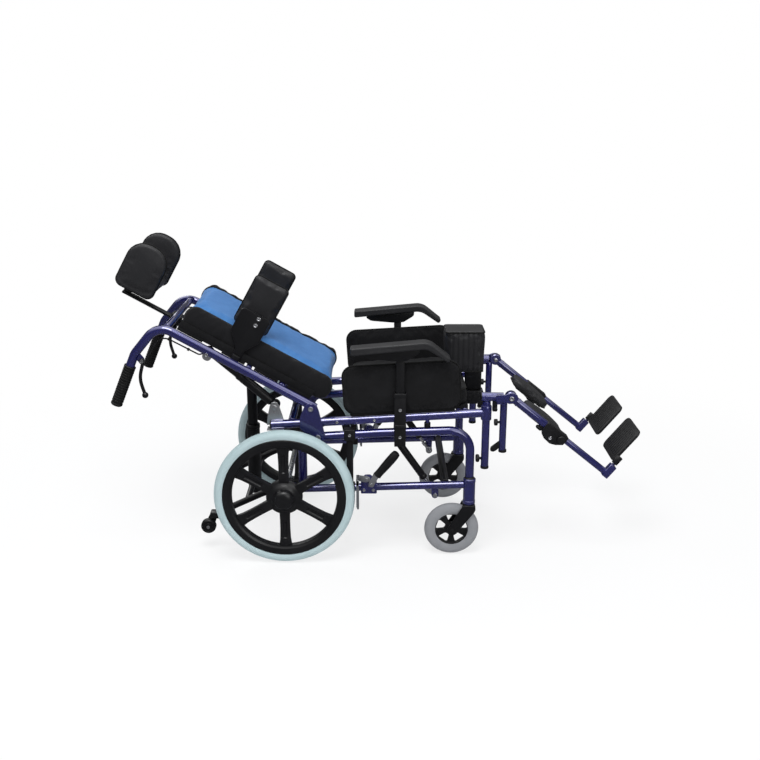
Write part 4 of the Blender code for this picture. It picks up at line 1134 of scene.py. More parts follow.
plugs = [bar("rail_plug", (-0.0400, -FRAME_Y, rail_height(-0.0400)),
             (-0.0345, -FRAME_Y, rail_height(-0.0345)), 0.0128, 32, 0.0018),
         bar("stop_rubber", (0.405, -FRAME_Y, 0.3895), (0.405, -FRAME_Y, 0.4040), 0.0090, 28, 0.0016),
         bar("socket_plug", (HANGER_X, -FRAME_Y, 0.2645), (HANGER_X, -FRAME_Y, 0.2735), 0.0118, 32, 0.0020)]
knob_place = Matrix.Translation((HANGER_X - 0.0105, -FRAME_Y, 0.2950)) @ rotation(-90.0, "Y")
plugs.append(turned("socket_knob", [(0.0, 0.0), (0.0040, 0.0), (0.0040, 0.0045), (0.0105, 0.0060),
                                    (0.0118, 0.0090), (0.0118, 0.0130), (0.0095, 0.0155),
                                    (0.0, 0.0165)], knob_place, 10))
both_sides(merge("seat_plugs", *plugs), "seat_plugs", "seat", moulded_black)

pan, board = frame["nodes"]["seat_pan"], frame["nodes"]["back_panel"]
for plain in (pan, board):
    plain.data.materials.clear()
    plain.data.materials.append(moulded_black)
print("seat frame done")

# %% [markdown]
# Back frame. Two canes hinge on the seat's plates and bend down into push handles behind
# the head. Three bars cross them. Places on the back are easier to read along it, so a
# helper turns a distance up the back and one in front of it into a place on the chair.

# %% Places along the back, and drawing helpers


BACK_RUN, BACK_RISE = 0.871, 0.491
KNEE, LEG_RUN, LEG_DROP = (0.6385, 0.479), 0.777, 0.6295


def back_point(u, n):
    """The (x, z) point u up the back from its hinge and n in front of it."""
    x, z = RECLINE_HINGE
    return (x - BACK_RUN * u + BACK_RISE * n, z + BACK_RISE * u + BACK_RUN * n)


def leg_point(a, b):
    """The (x, z) point a down the leg from the knee and b in front of it."""
    x, z = KNEE
    return (x + LEG_RUN * a + LEG_DROP * b, z - LEG_DROP * a + LEG_RUN * b)


def slab(name, to_world, u_range, n_range, y_range, rounding=0.001, segments=2):
    """A bar that is square to the back or to a leg."""
    (u0, u1), (n0, n1) = u_range, n_range
    outline = [to_world(u, n) for u, n in ((u0, n0), (u1, n0), (u1, n1), (u0, n1))]
    return flat_plate(name, outline, y_range, rounding, segments)


def round_corners(points, radii, steps=6):
    """Flat points, with an arc in place of each inner corner."""
    points = [Vector(point) for point in points]
    path = [points[0]]
    for before, corner, after, radius in zip(points, points[1:], points[2:], radii):
        inward, away = (before - corner).normalized(), (after - corner).normalized()
        half = 0.5 * inward.angle(away)
        centre = corner + (inward + away).normalized() * (radius / math.sin(half))
        first = corner + inward * radius / math.tan(half) - centre
        last = corner + away * radius / math.tan(half) - centre
        for step in range(steps + 1):
            path.append(centre + first.lerp(last, step / steps).normalized() * radius)
    path.append(points[-1])
    return [tuple(point) for point in path]


def pointing(start, end):
    """The place of something turned that stands on a point and points at another."""
    start = Vector(start)
    return Matrix.Translation(start) @ (Vector(end) - start).to_track_quat("Z", "Y").to_matrix().to_4x4()


# %% Canes and cross bars
HANDLE_BEND, HANDLE_END, GRIP_TOP = (-0.408, 0.605), (-0.468, 0.462), (-0.4225, 0.5705)
STRUT_TOP = (-0.208, 0.604)
LEVER_PIVOT, LEVER_TIP = (-0.388, 0.585), (-0.385, 0.487)
back_parts = []
for u, n, radius in ((0.100, 0.006, 0.010), (0.205, 0.0075, 0.0085), (0.455, 0.003, 0.010)):
    place = back_point(u, n)
    back_parts.append(pin("back_cross", place, -0.186, 0.186, radius, 28))
    for side in (NEAR, FAR):
        back_parts.append(weld_bead("weld", at(place, side * 0.1832), (0, 1, 0), radius + 0.0003, 0.0014))
for side in (NEAR, FAR):
    y = side * FRAME_Y
    back_parts.append(bent_tube("cane", [at(back_point(-0.012, 0.004), y), at(back_point(0.4795, 0.003), y),
                                         at(HANDLE_BEND, y), at(HANDLE_END, y)], [0.050, 0.060], RAIL_R, 32,
                                9))
    back_parts.append(pin("strut_boss", STRUT_TOP, side * 0.1768, side * 0.1900, 0.0080, 28))
    back_parts.append(flat_plate("lever_lug", [(-0.412, 0.598), (-0.394, 0.606), (-0.383, 0.592),
                                               (-0.3815, 0.583), (-0.385, 0.578), (-0.394, 0.576)],
                                 (side * 0.1922, side * 0.1983)))
carry(merge("back_tubes", *back_parts), "back", indigo_paint, "back_frame")

# %% Headrest socket, stem and their knob
socket_parts = [slab("socket_rear", back_point, (0.440, 0.472), (-0.0300, -0.0222), (-0.022, 0.022), 0.0014),
                slab("socket_front", back_point, (0.440, 0.472), (-0.0128, -0.0020), (-0.022, 0.022), 0.0014)]
for side in (NEAR, FAR):
    socket_parts.append(slab("socket_side", back_point, (0.441, 0.471), (-0.0235, -0.0115),
                             (side * 0.0126, side * 0.0218), 0.001))
    socket_parts.append(screw_head("socket_screw", at(back_point(0.456, -0.0180), side * 0.0218),
                                   (0, side, 0), 0.0046, 0.0026))
carry(merge("headrest_socket", *socket_parts), "back", black_paint)
knob_foot, knob_end = at(back_point(0.456, -0.029), 0.0), at(back_point(0.456, -0.060), 0.0)
knob = turned("headrest_knob", [(0.0, 0.0), (0.0042, 0.0), (0.0042, 0.0060), (0.0130, 0.0080),
                                (0.0145, 0.0110), (0.0145, 0.0160), (0.0120, 0.0195), (0.0, 0.0210)],
              pointing(knob_foot, knob_end), 9)
carry(soften_edges(knob, 0.0014, 2, 30.0), "back", moulded_black)
stem_parts = [slab("headrest_stem", back_point, (0.400, 0.628), (-0.0213, -0.0137), (-0.0118, 0.0118), 0.0014,
                   3),
              slab("headrest_lug", back_point, (0.605, 0.626), (-0.0150, 0.0050), (-0.0053, 0.0053), 0.001),
              pin("headrest_pin", back_point(0.616, -0.003), -0.0160, 0.0160, 0.0038)]
for side in (NEAR, FAR):
    stem_parts.append(pin("headrest_nut", back_point(0.616, -0.003), side * 0.0134, side * 0.0178, 0.0070, 6,
                          0.0006))
carry(merge("headrest_stem_bar", *stem_parts), "headrest_slider", black_paint, "headrest_stem")

# %% [markdown]
# Push grips are rubber sleeves with shallow rings, so the profile that is spun is a comb
# of small steps. Each hand lever is a bent rod with a ball on its tip, and pulls a thin
# cable that is clipped under the cane and runs down to the head of the recline strut.

# %% Grips, levers and cables
GRIP_LENGTH = 0.1242
grip_profile = [(0.0, 0.1120), (0.0128, 0.1120), (0.0128, 0.0), (0.0150, 0.0), (0.0166, 0.0014),
                (0.0166, 0.0052), (0.0150, 0.0064)]
for ring in range(14):
    low = 0.0078 + 0.0076 * ring
    grip_profile += [(0.0150, low), (0.0163, low + 0.0009), (0.0165, low + 0.0028), (0.0163, low + 0.0047),
                     (0.0150, low + 0.0056)]
grip_profile += [(0.0150, 0.1160), (0.0166, 0.1172), (0.0166, 0.1212), (0.0148, 0.1236), (0.0, GRIP_LENGTH)]
grip = turned("push_grip", grip_profile, pointing(at(GRIP_TOP, -FRAME_Y), at((-0.4705, 0.4560), -FRAME_Y)),
              48)
both_sides(grip, "ribbed_grip", "back", grip_rubber, ["push_grip"])

lever_y = -0.2030
lever_hub = turned("lever_hub", two_ends([(0.0034, -0.0037), (0.0066, -0.0037), (0.0078, -0.0028)]),
                   facing_out(at(LEVER_PIVOT, 0.2030)), 36, closed=True)
lever_blade = bent_tube("lever_blade", [(-0.3855, lever_y, 0.5800), (-0.3980, lever_y, 0.5350),
                                        (LEVER_TIP[0], lever_y, LEVER_TIP[1])], [0.08], 0.0048, 16, 10)
start_fresh()
bpy.ops.mesh.primitive_uv_sphere_add(segments=28, ring_count=16, radius=0.0088,
                                     location=(LEVER_TIP[0], lever_y, LEVER_TIP[1]))
lever_ball = smooth(bake_place(bpy.context.object), 80.0)
both_sides(merge("lever", lever_hub, lever_blade, lever_ball), "squeeze_lever", "handle_lever", black_paint,
           ["hand_lever"])
cable_path = [at(back_point(0.4640, -0.1000), -0.1985), at(back_point(0.4600, -0.0190), -0.1950),
              at(back_point(0.3420, -0.0190), -0.1900), at(back_point(0.3300, -0.0080), -0.1790)]
cable = bent_tube("release_cable", cable_path, [0.030, 0.012], 0.0021, 14, 8)
clips = [bar("cable_clip", at(back_point(u, -0.0190), -0.1938), at(back_point(u + 0.006, -0.0190), -0.1936),
             0.0042, 16, 0.0006) for u in (0.372, 0.432)]
both_sides(merge("release_cable", cable, *clips), "release_cable", "back", moulded_black)
lever_pins = [pin("lever_pin", LEVER_PIVOT, -0.1965, -0.2078, 0.0029, 16),
              screw_head("lever_screw", at(LEVER_PIVOT, -0.2066), (0, -1, 0), 0.0052, 0.0020),
              pin("boss_pin", STRUT_TOP, -0.1900, -0.2068, 0.0036, 16),
              screw_head("boss_screw", at(STRUT_TOP, -0.2068), (0, -1, 0), 0.0058, 0.0026)]
strut_tab = [back_point(u, n) for u, n in round_corners(
    [(0.322, -0.002), (0.309, -0.002), (0.309, -0.030), (0.335, -0.030), (0.335, -0.002), (0.322, -0.002)],
    [0.002, 0.012, 0.012, 0.002], 6)[:-1]]
lever_pins.append(flat_plate("strut_tab", strut_tab, (-0.1785, -0.1755), 0.0006))
both_sides(merge("back_hardware", *lever_pins), "back_hardware", "back", bright_plate)
flaps = [slab("back_flap", back_point, span, (0.0085, 0.0170), (-0.1695, -0.1680), 0.0004)
         for span in ((0.015, 0.085), (0.115, 0.190), (0.220, 0.292), (0.352, 0.430))]
flaps.append(slab("back_flap", back_point, (0.290, 0.354), (0.0128, 0.0175), (-0.1695, -0.1680), 0.0004))
flaps.append(slab("back_flap", back_point, (0.012, 0.430), (0.0168, 0.0380), (-0.1695, -0.1680), 0.0004))
both_sides(merge("back_flaps", *flaps), "back_flaps", "back", black_cloth)
print("back frame done")

# %% [markdown]
# Struts. Two black gas struts under the back hold its angle, and two slimmer ones tilt the
# seat. Each is a turned cylinder and a turned rod that slides in it, with an eye at either
# end. The rods stay bodies of their own, so both halves are modelled to full length.

# %% Recline struts
STRUT_Y = 0.160


def strut_place(start, end, y, distance=0.0):
    """The place on the near side from which a strut's profile is turned."""
    begin = Vector(at(start, -y))
    finish_at = Vector(at(end, -y))
    begin += (finish_at - begin).normalized() * distance
    return pointing(begin, finish_at)


cylinder = turned("strut_cylinder", [
    (0.0, 0.0060), (0.0095, 0.0060), (0.0105, 0.0110), (0.0136, 0.0150), (0.0140, 0.0180), (0.0140, 0.1180),
    (0.0134, 0.1200), (0.0134, 0.1230), (0.0140, 0.1245), (0.0140, 0.1320), (0.0132, 0.1350),
    (0.0118, 0.1350), (0.0118, 0.1000), (0.0, 0.1000)], strut_place(RECLINE_FOOT, STRUT_TOP, STRUT_Y), 40)
foot_eye = turned("strut_eye", two_ends([(0.0044, -0.0092), (0.0120, -0.0092), (0.0136, -0.0080)]),
                  facing_out(at(RECLINE_FOOT, STRUT_Y)), 40, closed=True)
both_sides(merge("recline_barrel", cylinder, foot_eye), "recline_barrel", "recline_body", black_paint,
           ["recline_cylinder"])
rod_shaft = turned("strut_rod", [
    (0.0, 0.0300), (0.0112, 0.0300), (0.0114, 0.0320), (0.0114, 0.2250), (0.0121, 0.2260), (0.0121, 0.2330),
    (0.0, 0.2345)], strut_place(RECLINE_FOOT, STRUT_TOP, STRUT_Y), 36)
head_eye = turned("strut_eye", two_ends([(0.0, -0.0078), (0.0116, -0.0078), (0.0129, -0.0066)]),
                  facing_out(at(STRUT_TOP, STRUT_Y)), 36)
both_sides(merge("recline_shaft", rod_shaft, head_eye), "recline_shaft", "recline_piston", black_paint,
           ["recline_rod"])

# %% Tilt struts
TILT_STRUT_Y = 0.170
TILT_HEAD = (0.323, 0.335)
tilt_place = strut_place(TILT_HEAD, TILT_FOOT, TILT_STRUT_Y)
barrel = turned("tilt_barrel", [
    (0.0, 0.0050), (0.0072, 0.0050), (0.0082, 0.0085), (0.0102, 0.0115), (0.0105, 0.0140), (0.0105, 0.1200),
    (0.0098, 0.1215), (0.0098, 0.1240), (0.0105, 0.1255), (0.0105, 0.1325), (0.0092, 0.1350),
    (0.0056, 0.1350), (0.0056, 0.0900), (0.0, 0.0900)], tilt_place, 36)
barrel_eye = turned("tilt_eye", two_ends([(0.0, -0.0092), (0.0088, -0.0092), (0.0102, -0.0080)]),
                    facing_out(at(TILT_HEAD, TILT_STRUT_Y)), 36)
both_sides(merge("tilt_barrel", barrel, barrel_eye), "tilt_barrel", "tilt_piston", black_paint,
           ["tilt_cylinder"])
shaft_length = math.dist(TILT_HEAD, TILT_FOOT)
tilt_shaft = turned("tilt_shaft", [
    (0.0, 0.0250), (0.0046, 0.0250), (0.0049, 0.0265), (0.0049, 0.1560), (0.0072, 0.1570), (0.0072, 0.1660),
    (0.0052, 0.1675), (0.0052, shaft_length - 0.006), (0.0, shaft_length - 0.006)], tilt_place, 32)
shaft_eye = turned("tilt_eye", two_ends([(0.0044, -0.0078), (0.0094, -0.0078), (0.0104, -0.0068)]),
                   facing_out(at(TILT_FOOT, TILT_STRUT_Y)), 36, closed=True)
both_sides(merge("tilt_shaft", tilt_shaft, shaft_eye), "tilt_shaft", "tilt_body", bright_plate, ["tilt_rod"])
print("struts done")

# %% [markdown]
# Parking brakes. A bright plate is screwed to the lower rail. The black grip turns an arm
# on it, and a second arm swings a serrated steel block against the tyre. Flat parts are
# drawn by their outline, and the grip is a turned sleeve with a round end.

# %% Brake plate, lever and shoe
BRAKE_PIVOT, SHOE_PIVOT = (0.246, 0.222), (0.234, 0.240)
GRIP_START, GRIP_END = (0.262, 0.252), (0.320, 0.323)
plate = flat_plate("brake_plate", [
    (0.2180, 0.1920), (0.2600, 0.1920), (0.2620, 0.1940), (0.2620, 0.2270), (0.2460, 0.2480),
    (0.2420, 0.2500), (0.2300, 0.2500), (0.2265, 0.2480), (0.2160, 0.2320),
    (0.2160, 0.1940)], (-0.2066, -0.2118), 0.0008, 3)
brake_pins = [pin("brake_pin", BRAKE_PIVOT, -0.209, -0.2184, 0.0038),
              pin("brake_pin", SHOE_PIVOT, -0.209, -0.2244, 0.0038),
              screw_head("brake_screw", (0.2250, -0.2118, 0.2030), (0, -1, 0), 0.0048, 0.0016),
              screw_head("brake_screw", (0.2520, -0.2118, 0.2030), (0, -1, 0), 0.0048, 0.0016)]
both_sides(plate, "brake_plate", "base", indigo_paint, ["brake_bracket"])
both_sides(merge("brake_pins", *brake_pins), "brake_pins", "base", bright_plate)
arm = flat_plate("brake_arm", [(0.2372, 0.2180), (0.2390, 0.2155), (0.2490, 0.2132), (0.2520, 0.2150),
                               (0.2700, 0.2500), (0.2690, 0.2540), (0.2640, 0.2612), (0.2600, 0.2615),
                               (0.2540, 0.2580), (0.2400, 0.2310)], (-0.2137, -0.2173), 0.0008, 2)
sleeve = turned("brake_grip", [
    (0.0, 0.0), (0.0105, 0.0), (0.0120, 0.0016), (0.0112, 0.0060), (0.0114, 0.0180), (0.0126, 0.0400),
    (0.0130, 0.0650), (0.0126, 0.0800), (0.0108, 0.0885), (0.0070, 0.0912), (0.0, 0.0917)],
    pointing(at(GRIP_START, -0.2227), at(GRIP_END, -0.2227)), 40)
both_sides(sleeve, "brake_grip", "brake_handle", moulded_black, ["brake_lever"])
both_sides(arm, "brake_arm", "brake_handle", bright_plate)
shoe_arm = flat_plate("shoe_arm", [
    (0.2040, 0.2370), (0.2300, 0.2310), (0.2410, 0.2345), (0.2430, 0.2370), (0.2430, 0.2450),
    (0.2410, 0.2475), (0.2320, 0.2500), (0.2040, 0.2538)], (-0.2192, -0.2228), 0.0007)
shoe_bar = block("shoe_bar", (0.2036, 0.2114), (-0.2192, -0.2618), (0.2362, 0.2538), 0.0010)
shoe_face = [(0.2114, 0.1655), (0.2114, 0.2535), (0.2058, 0.2535)]
for tooth in range(11):
    top = 0.2480 - 0.0075 * tooth
    shoe_face += [(0.2036, top), (0.2058, top - 0.0036)]
shoe_face.append((0.2058, 0.1655))
shoe_block = flat_plate("shoe_block", shoe_face, (-0.2372, -0.2618), 0.0004, 1)
both_sides(merge("brake_shoe", shoe_arm, shoe_bar, shoe_block), "brake_block", "brake_pad", grey_zinc,
           ["brake_shoe"])

# %% [markdown]
# Armrests. A flat post slides in a moulded socket that is clamped to the seat rail, and a
# bracket under the pad carries it. The pad is moulded foam with its own skin: flat on
# top, with generous edges, and drooping at its front.

# %% Armrest socket and post
socket = [block("arm_socket_wall", (0.3110, 0.3430), (-0.2302, -0.2335), (0.344, 0.500), 0.0012, 3),
          block("arm_socket_wall", (0.3110, 0.3430), (-0.2160, -0.2193), (0.344, 0.500), 0.0010, 2),
          block("arm_socket_wall", (0.3110, 0.3149), (-0.2165, -0.2330), (0.344, 0.500), 0.0010, 2),
          block("arm_socket_wall", (0.3391, 0.3430), (-0.2165, -0.2330), (0.344, 0.500), 0.0010, 2),
          block("arm_socket_floor", (0.3130, 0.3410), (-0.2170, -0.2325), (0.3442, 0.3515), 0.0008, 2),
          block("arm_socket_clamp", (0.3132, 0.3408), (-0.2080, -0.2176), (0.4052, 0.4298), 0.0014, 3),
          block("arm_socket_rib", (0.3098, 0.3442), (-0.2172, -0.2347), (0.4880, 0.5000), 0.0016, 3),
          block("arm_socket_rib", (0.3098, 0.3442), (-0.2172, -0.2347), (0.3980, 0.4080), 0.0016, 3)]
both_sides(merge("arm_socket", *socket), "arm_socket", "seat", moulded_black, ["armrest_socket"])
arm_screws = [screw_head("arm_screw", (0.327, -0.2334, 0.4520), (0, -1, 0), 0.0048, 0.0018),
              screw_head("arm_screw", (0.327, -0.2334, 0.3720), (0, -1, 0), 0.0048, 0.0018)]
both_sides(merge("arm_screws", *arm_screws), "arm_screws", "seat", bright_plate)
post = block("arm_post", (0.3156, 0.3384), (-0.2201, -0.2294), (0.3700, 0.6030), 0.0016, 3)
bracket = flat_plate("arm_bracket", [
    (0.2280, 0.6120), (0.2292, 0.6070), (0.2400, 0.5998), (0.2480, 0.5980), (0.3120, 0.5925),
    (0.3450, 0.5942), (0.3500, 0.5970), (0.3740, 0.6120), (0.3785, 0.6170), (0.3795, 0.6272),
    (0.2282, 0.6132)], (-0.2167, -0.2328), 0.0014, 3)
both_sides(merge("arm_post", post, bracket), "arm_post", "armrest", black_paint, ["armrest_post"])

# %% Armrest pad
pad_outline = round_corners([(0.1895, 0.6220), (0.1895, 0.6322), (0.4050, 0.6516), (0.4652, 0.6030),
                             (0.4572, 0.5913), (0.4000, 0.6308), (0.1895, 0.6107), (0.1895, 0.6220)],
                            [0.005, 0.050, 0.006, 0.006, 0.045, 0.005], 8)[:-1]
arm_pad = flat_plate("arm_pad", pad_outline, (-0.2066, -0.2500), 0.0)
soften_edges(arm_pad, 0.0075, 5, 50.0)
smooth(arm_pad, 40.0)
arm_pads = both_sides(arm_pad, "arm_cushion", "armrest", arm_vinyl, ["armrest_pad"])
print("brakes and armrests done")

# %% [markdown]
# Swing-away legrests. A hanger drops into the tube at the rail's front end, and a bent
# top tube ends in the knee. Below it a second post carries a hook that steadies it. The
# elevating leg is a tube in a tube, held by a black clamp with a release lever.

# %% Hanger
KNEE = (0.6385, 0.479)
y = -FRAME_Y
hanger_parts = [
    bar("hanger_pin", (HANGER_X, y, 0.304), (HANGER_X, y, 0.478), 0.0082, 28),
    bent_tube("hanger_top", [(0.5560, y, 0.4800), (0.6170, y, 0.4790)], [], RAIL_R, 32),
    bar("hanger_post", (0.619, y, 0.3170), (0.619, y, 0.4700), 0.0100, 32, 0.0010),
    flat_plate("knee_ear", [(0.5960, 0.4690), (0.6210, 0.4680), (0.6320, 0.4635), (0.6450, 0.4645),
                            (0.6545, 0.4715), (0.6575, 0.4800), (0.6545, 0.4885), (0.6450, 0.4945),
                            (0.6320, 0.4950), (0.6210, 0.4905), (0.5960, 0.4900)], (-0.2087, -0.2133), 0.0010,
               3),
    block("ear_weld", (0.5982, 0.6138), (-0.1985, -0.2092), (0.4607, 0.4898), 0.0012)]
both_sides(merge("hanger_tubes", *hanger_parts), "hanger_tubes", "hanger", indigo_paint, ["legrest_hanger"])
hanger_black = [
    bar("hanger_cap", (0.5535, y, 0.4800), (0.5572, y, 0.4800), 0.0128, 32, 0.0014),
    bar("post_cap", (0.620, y, 0.3145), (0.620, y, 0.3225), 0.0116, 32, 0.0016),
    flat_plate("hanger_hook", [(0.6160, 0.3520), (0.6160, 0.3320), (0.5990, 0.3180), (0.5930, 0.3160),
                               (0.5870, 0.3172), (0.5848, 0.3210), (0.5870, 0.3285)],
               (y - 0.0052, y + 0.0052), 0.0012, 3),
    block("latch", (0.5872, 0.6008), (-0.1884, -0.2016), (0.4372, 0.4706), 0.0022, 3),
    pin("latch_knob", (0.594, 0.4470), -0.2016, -0.2130, 0.0062, 24, 0.0014),
    bar("post_screw", (0.6100, y, 0.4040), (0.6020, y, 0.4040), 0.0036, 20),
    bar("post_grip", (0.6035, y, 0.4040), (0.5935, y, 0.4040), 0.0098, 9, 0.0022)]
both_sides(merge("hanger_black", *hanger_black), "hanger_black", "hanger", moulded_black)
knee_pins = [pin("knee_pin", KNEE, -0.1840, -0.2110, 0.0038),
             screw_head("knee_screw", at(KNEE, -0.2133), (0, -1, 0), 0.0070, 0.0036),
             pin("knee_nut", KNEE, -0.1800, -0.1846, 0.0068, 6, 0.0006)]
both_sides(merge("knee_hardware", *knee_pins), "knee_hardware", "hanger", bright_plate)

# %% Elevating leg
LEG_LENGTH = 0.370
knuckle = turned("knuckle", two_ends([(0.0044, -0.0104), (0.0150, -0.0104), (0.0170, -0.0088)]),
                 facing_out(at(KNEE, 0.1955)), 44, closed=True)
start, end = leg_point(0.010, 0.0), leg_point(0.172, 0.0)
outer_leg = bar("outer_leg", at(start, y), at(end, y), 0.0115, 32, 0.0010)
inner_start, inner_end = leg_point(0.150, 0.0), leg_point(LEG_LENGTH, 0.0)
inner_leg = bar("inner_leg", at(inner_start, y), at(inner_end, y), 0.0095, 32, 0.0010)
heel = slab("heel", leg_point, (LEG_LENGTH - 0.016, LEG_LENGTH + 0.004), (-0.012, 0.030), (-0.1844, -0.2060),
            0.0022, 3)
hinge_start, hinge_end = leg_point(LEG_LENGTH - 0.006, 0.0), leg_point(LEG_LENGTH - 0.006, 0.045)
hinge_bar = bar("foot_hinge", at(hinge_start, -0.190), at(hinge_end, -0.190), 0.0050, 24)
leg_ring = weld_bead("leg_ring", at(leg_point(0.026, 0.0), y), (LEG_RUN, 0, -LEG_DROP), 0.0115, 0.0014)
both_sides(merge("leg_tubes", knuckle, outer_leg, inner_leg, heel, hinge_bar, leg_ring), "leg_tubes", "leg",
           indigo_paint, ["leg_tube"])
clamp_outline = round_corners([leg_point(a, b) for a, b in (
    (0.165, 0.0128), (0.205, 0.0128), (0.205, -0.0135), (0.188, -0.0270), (0.172, -0.0340), (0.146, -0.0320),
    (0.128, -0.0130), (0.128, 0.0128), (0.165, 0.0128))], [0.004, 0.004, 0.008, 0.012, 0.014, 0.004, 0.004],
                              5)[:-1]
clamp = flat_plate("leg_clamp", clamp_outline, (-0.1800, -0.2100), 0.0020, 3)
hole_at = leg_point(0.162, -0.0205)
start_fresh()
bpy.ops.mesh.primitive_cylinder_add(vertices=32, radius=0.0062, depth=0.06,
                                    location=at(hole_at, -0.195), rotation=(math.radians(90.0), 0.0, 0.0))
cut_away(clamp, bake_place(bpy.context.object))
smooth(clamp)
catch = slab("leg_catch", leg_point, (0.1130, 0.1300), (-0.0240, -0.0150), (-0.1870, -0.2030), 0.0030, 3)
clamp_knob = turned("clamp_knob", [(0.0, 0.0), (0.0110, 0.0), (0.0122, 0.0014), (0.0122, 0.0050),
                                   (0.0100, 0.0068), (0.0, 0.0074)],
                    facing_out(at(leg_point(0.190, -0.0045), 0.2098)), 12)
both_sides(merge("leg_clamp", clamp, catch, clamp_knob), "leg_clamp", "leg", moulded_black)
both_sides(screw_head("clamp_bolt", at(hole_at, -0.2080), (0, -1, 0), 0.0056, 0.0030), "clamp_bolt", "leg",
           bright_plate)

# %% [markdown]
# Footplates. Each is a ribbed moulded plate on a sleeve that turns about the leg's short
# bar. The tread is drawn as a plate with round corners, and thin ribs are set on it.

# %% Footplates
PLATE_A = LEG_LENGTH - 0.006


def foot_place(a, b):
    """A place on the footplate, b along it from the leg."""
    return leg_point(PLATE_A + a, b)


start_fresh()
bpy.ops.mesh.primitive_cube_add(size=1.0)
tread = bpy.context.object
tread.scale = (0.116, 0.138, 0.0074)
bake_place(tread)
start_editing("EDGE", "DESELECT")
tread_mesh = bmesh.from_edit_mesh(tread.data)
for edge in tread_mesh.edges:
    along = edge.verts[1].co - edge.verts[0].co
    edge.select_set(abs(along.z) > 0.004)
bmesh.update_edit_mesh(tread.data)
bpy.ops.mesh.bevel(offset=0.018, segments=8, affect="EDGES")
stop_editing()
soften_edges(tread, 0.0018, 3, 50.0)
ribs = []
for rib in range(9):
    across = -0.052 + 0.013 * rib
    ribs.append(block("tread_rib", (-0.044, 0.044), (across - 0.0022, across + 0.0022), (0.0030, 0.0047),
                      0.0007))
tread = merge("tread", smooth(tread), *ribs)
middle = foot_place(0.0, 0.092)
tread_turn = Matrix(((LEG_DROP, 0.0, -LEG_RUN), (0.0, 1.0, 0.0), (LEG_RUN, 0.0, LEG_DROP))).to_4x4()
tread.matrix_world = Matrix.Translation(at(middle, -0.109)) @ tread_turn
bake_place(tread)
sleeve_ends = foot_place(0.0, 0.0342), foot_place(0.0, 0.0600)
hinge_sleeve = bar("foot_sleeve", at(sleeve_ends[0], -0.190), at(sleeve_ends[1], -0.190), 0.0094, 28, 0.0012)
web = slab("foot_web", foot_place, (-0.0030, 0.0030), (0.0362, 0.0578), (-0.166, -0.186), 0.0012)
both_sides(merge("foot_tread", tread, hinge_sleeve, web), "foot_tread", "foot", moulded_black, ["footplate"])
print("legrests done")

# %% [markdown]
# Pads. A sewn pad is a cover that its filling pushes out everywhere except at the seams,
# so that is what happens here. A slightly small block is remeshed into even squares, its
# seam lines are held, and Blender's cloth is blown up by a little pressure. How far a
# point may move is capped, then one subdivision smooths it. Piping is a tube laid on the
# same seam line.

# %% Tools for pads
SETTLING_FRAMES = 20


def pad_block(size, corners, edges):
    """A block about the origin: corners are the plan radii, edges the radius of its rims."""
    start_fresh()
    bpy.ops.mesh.primitive_cube_add(size=1.0)
    body = bpy.context.object
    body.scale = size
    bake_place(body)
    for axis, radius in corners:
        pick(body)
        start_editing("EDGE", "DESELECT")
        mesh = bmesh.from_edit_mesh(body.data)
        for edge in mesh.edges:
            along = (edge.verts[1].co - edge.verts[0].co).normalized()
            edge.select_set(abs(along[axis]) > 0.99 and edge.calc_length() > 0.4 * size[axis])
        bmesh.update_edit_mesh(body.data)
        bpy.ops.mesh.bevel(offset=radius, segments=9, affect="EDGES")
        stop_editing()
    if edges:
        soften_edges(body, edges, 4, 40.0)
    return body


def even_squares(body, voxel):
    """Remesh into even squares of one size."""
    pick(body)
    body.data.remesh_voxel_size = voxel
    bpy.ops.object.voxel_remesh()
    return body


def blow_up(body, held, cap, pressure=4.0, spare=0.03):
    """Blow a cover up between its held points. A point moves by no more than cap."""
    mesh = body.data
    before = [vertex.co.copy() for vertex in mesh.vertices]
    group = body.vertex_groups.new(name="held")
    group.add([vertex.index for vertex in mesh.vertices if held(vertex.co)], 1.0, "REPLACE")
    cover = body.modifiers.new("cover", "CLOTH")
    cover.settings.vertex_group_mass = "held"
    cover.settings.use_pressure = True
    cover.settings.uniform_pressure_force = pressure
    cover.settings.effector_weights.gravity = 0.0
    cover.settings.quality = 5
    cover.settings.mass = 0.25
    cover.settings.tension_stiffness = 12.0
    cover.settings.compression_stiffness = 12.0
    cover.settings.shear_stiffness = 5.0
    cover.settings.bending_stiffness = 0.25
    cover.settings.shrink_min = -spare
    cover.collision_settings.use_collision = False
    cover.point_cache.frame_start = 1
    cover.point_cache.frame_end = SETTLING_FRAMES
    for frame_number in range(1, SETTLING_FRAMES + 1):
        scene.frame_set(frame_number)
    apply_all(body)
    scene.frame_set(1)
    for vertex, first in zip(body.data.vertices, before):
        moved = vertex.co - first
        if moved.length > cap:
            vertex.co = first + moved.normalized() * cap
    body.vertex_groups.clear()
    most = max((vertex.co - first).length for vertex, first in zip(body.data.vertices, before))
    print("pad blown up by", round(1000.0 * most, 1), "mm,", len(before), "points")
    smoother = body.modifiers.new("soft", "SUBSURF")
    smoother.levels = 1
    smoother.render_levels = 1
    return apply_all(body)


# %% [markdown]
# A seam on a pad is a loop with round corners whose sides may be drawn in. Piping turns a
# loop of points into a thin cord. A pad is made lying flat about the origin, and is set
# down in its place last, parallel to the seat or as its bracket holds it.

# %% Tools for seams and piping


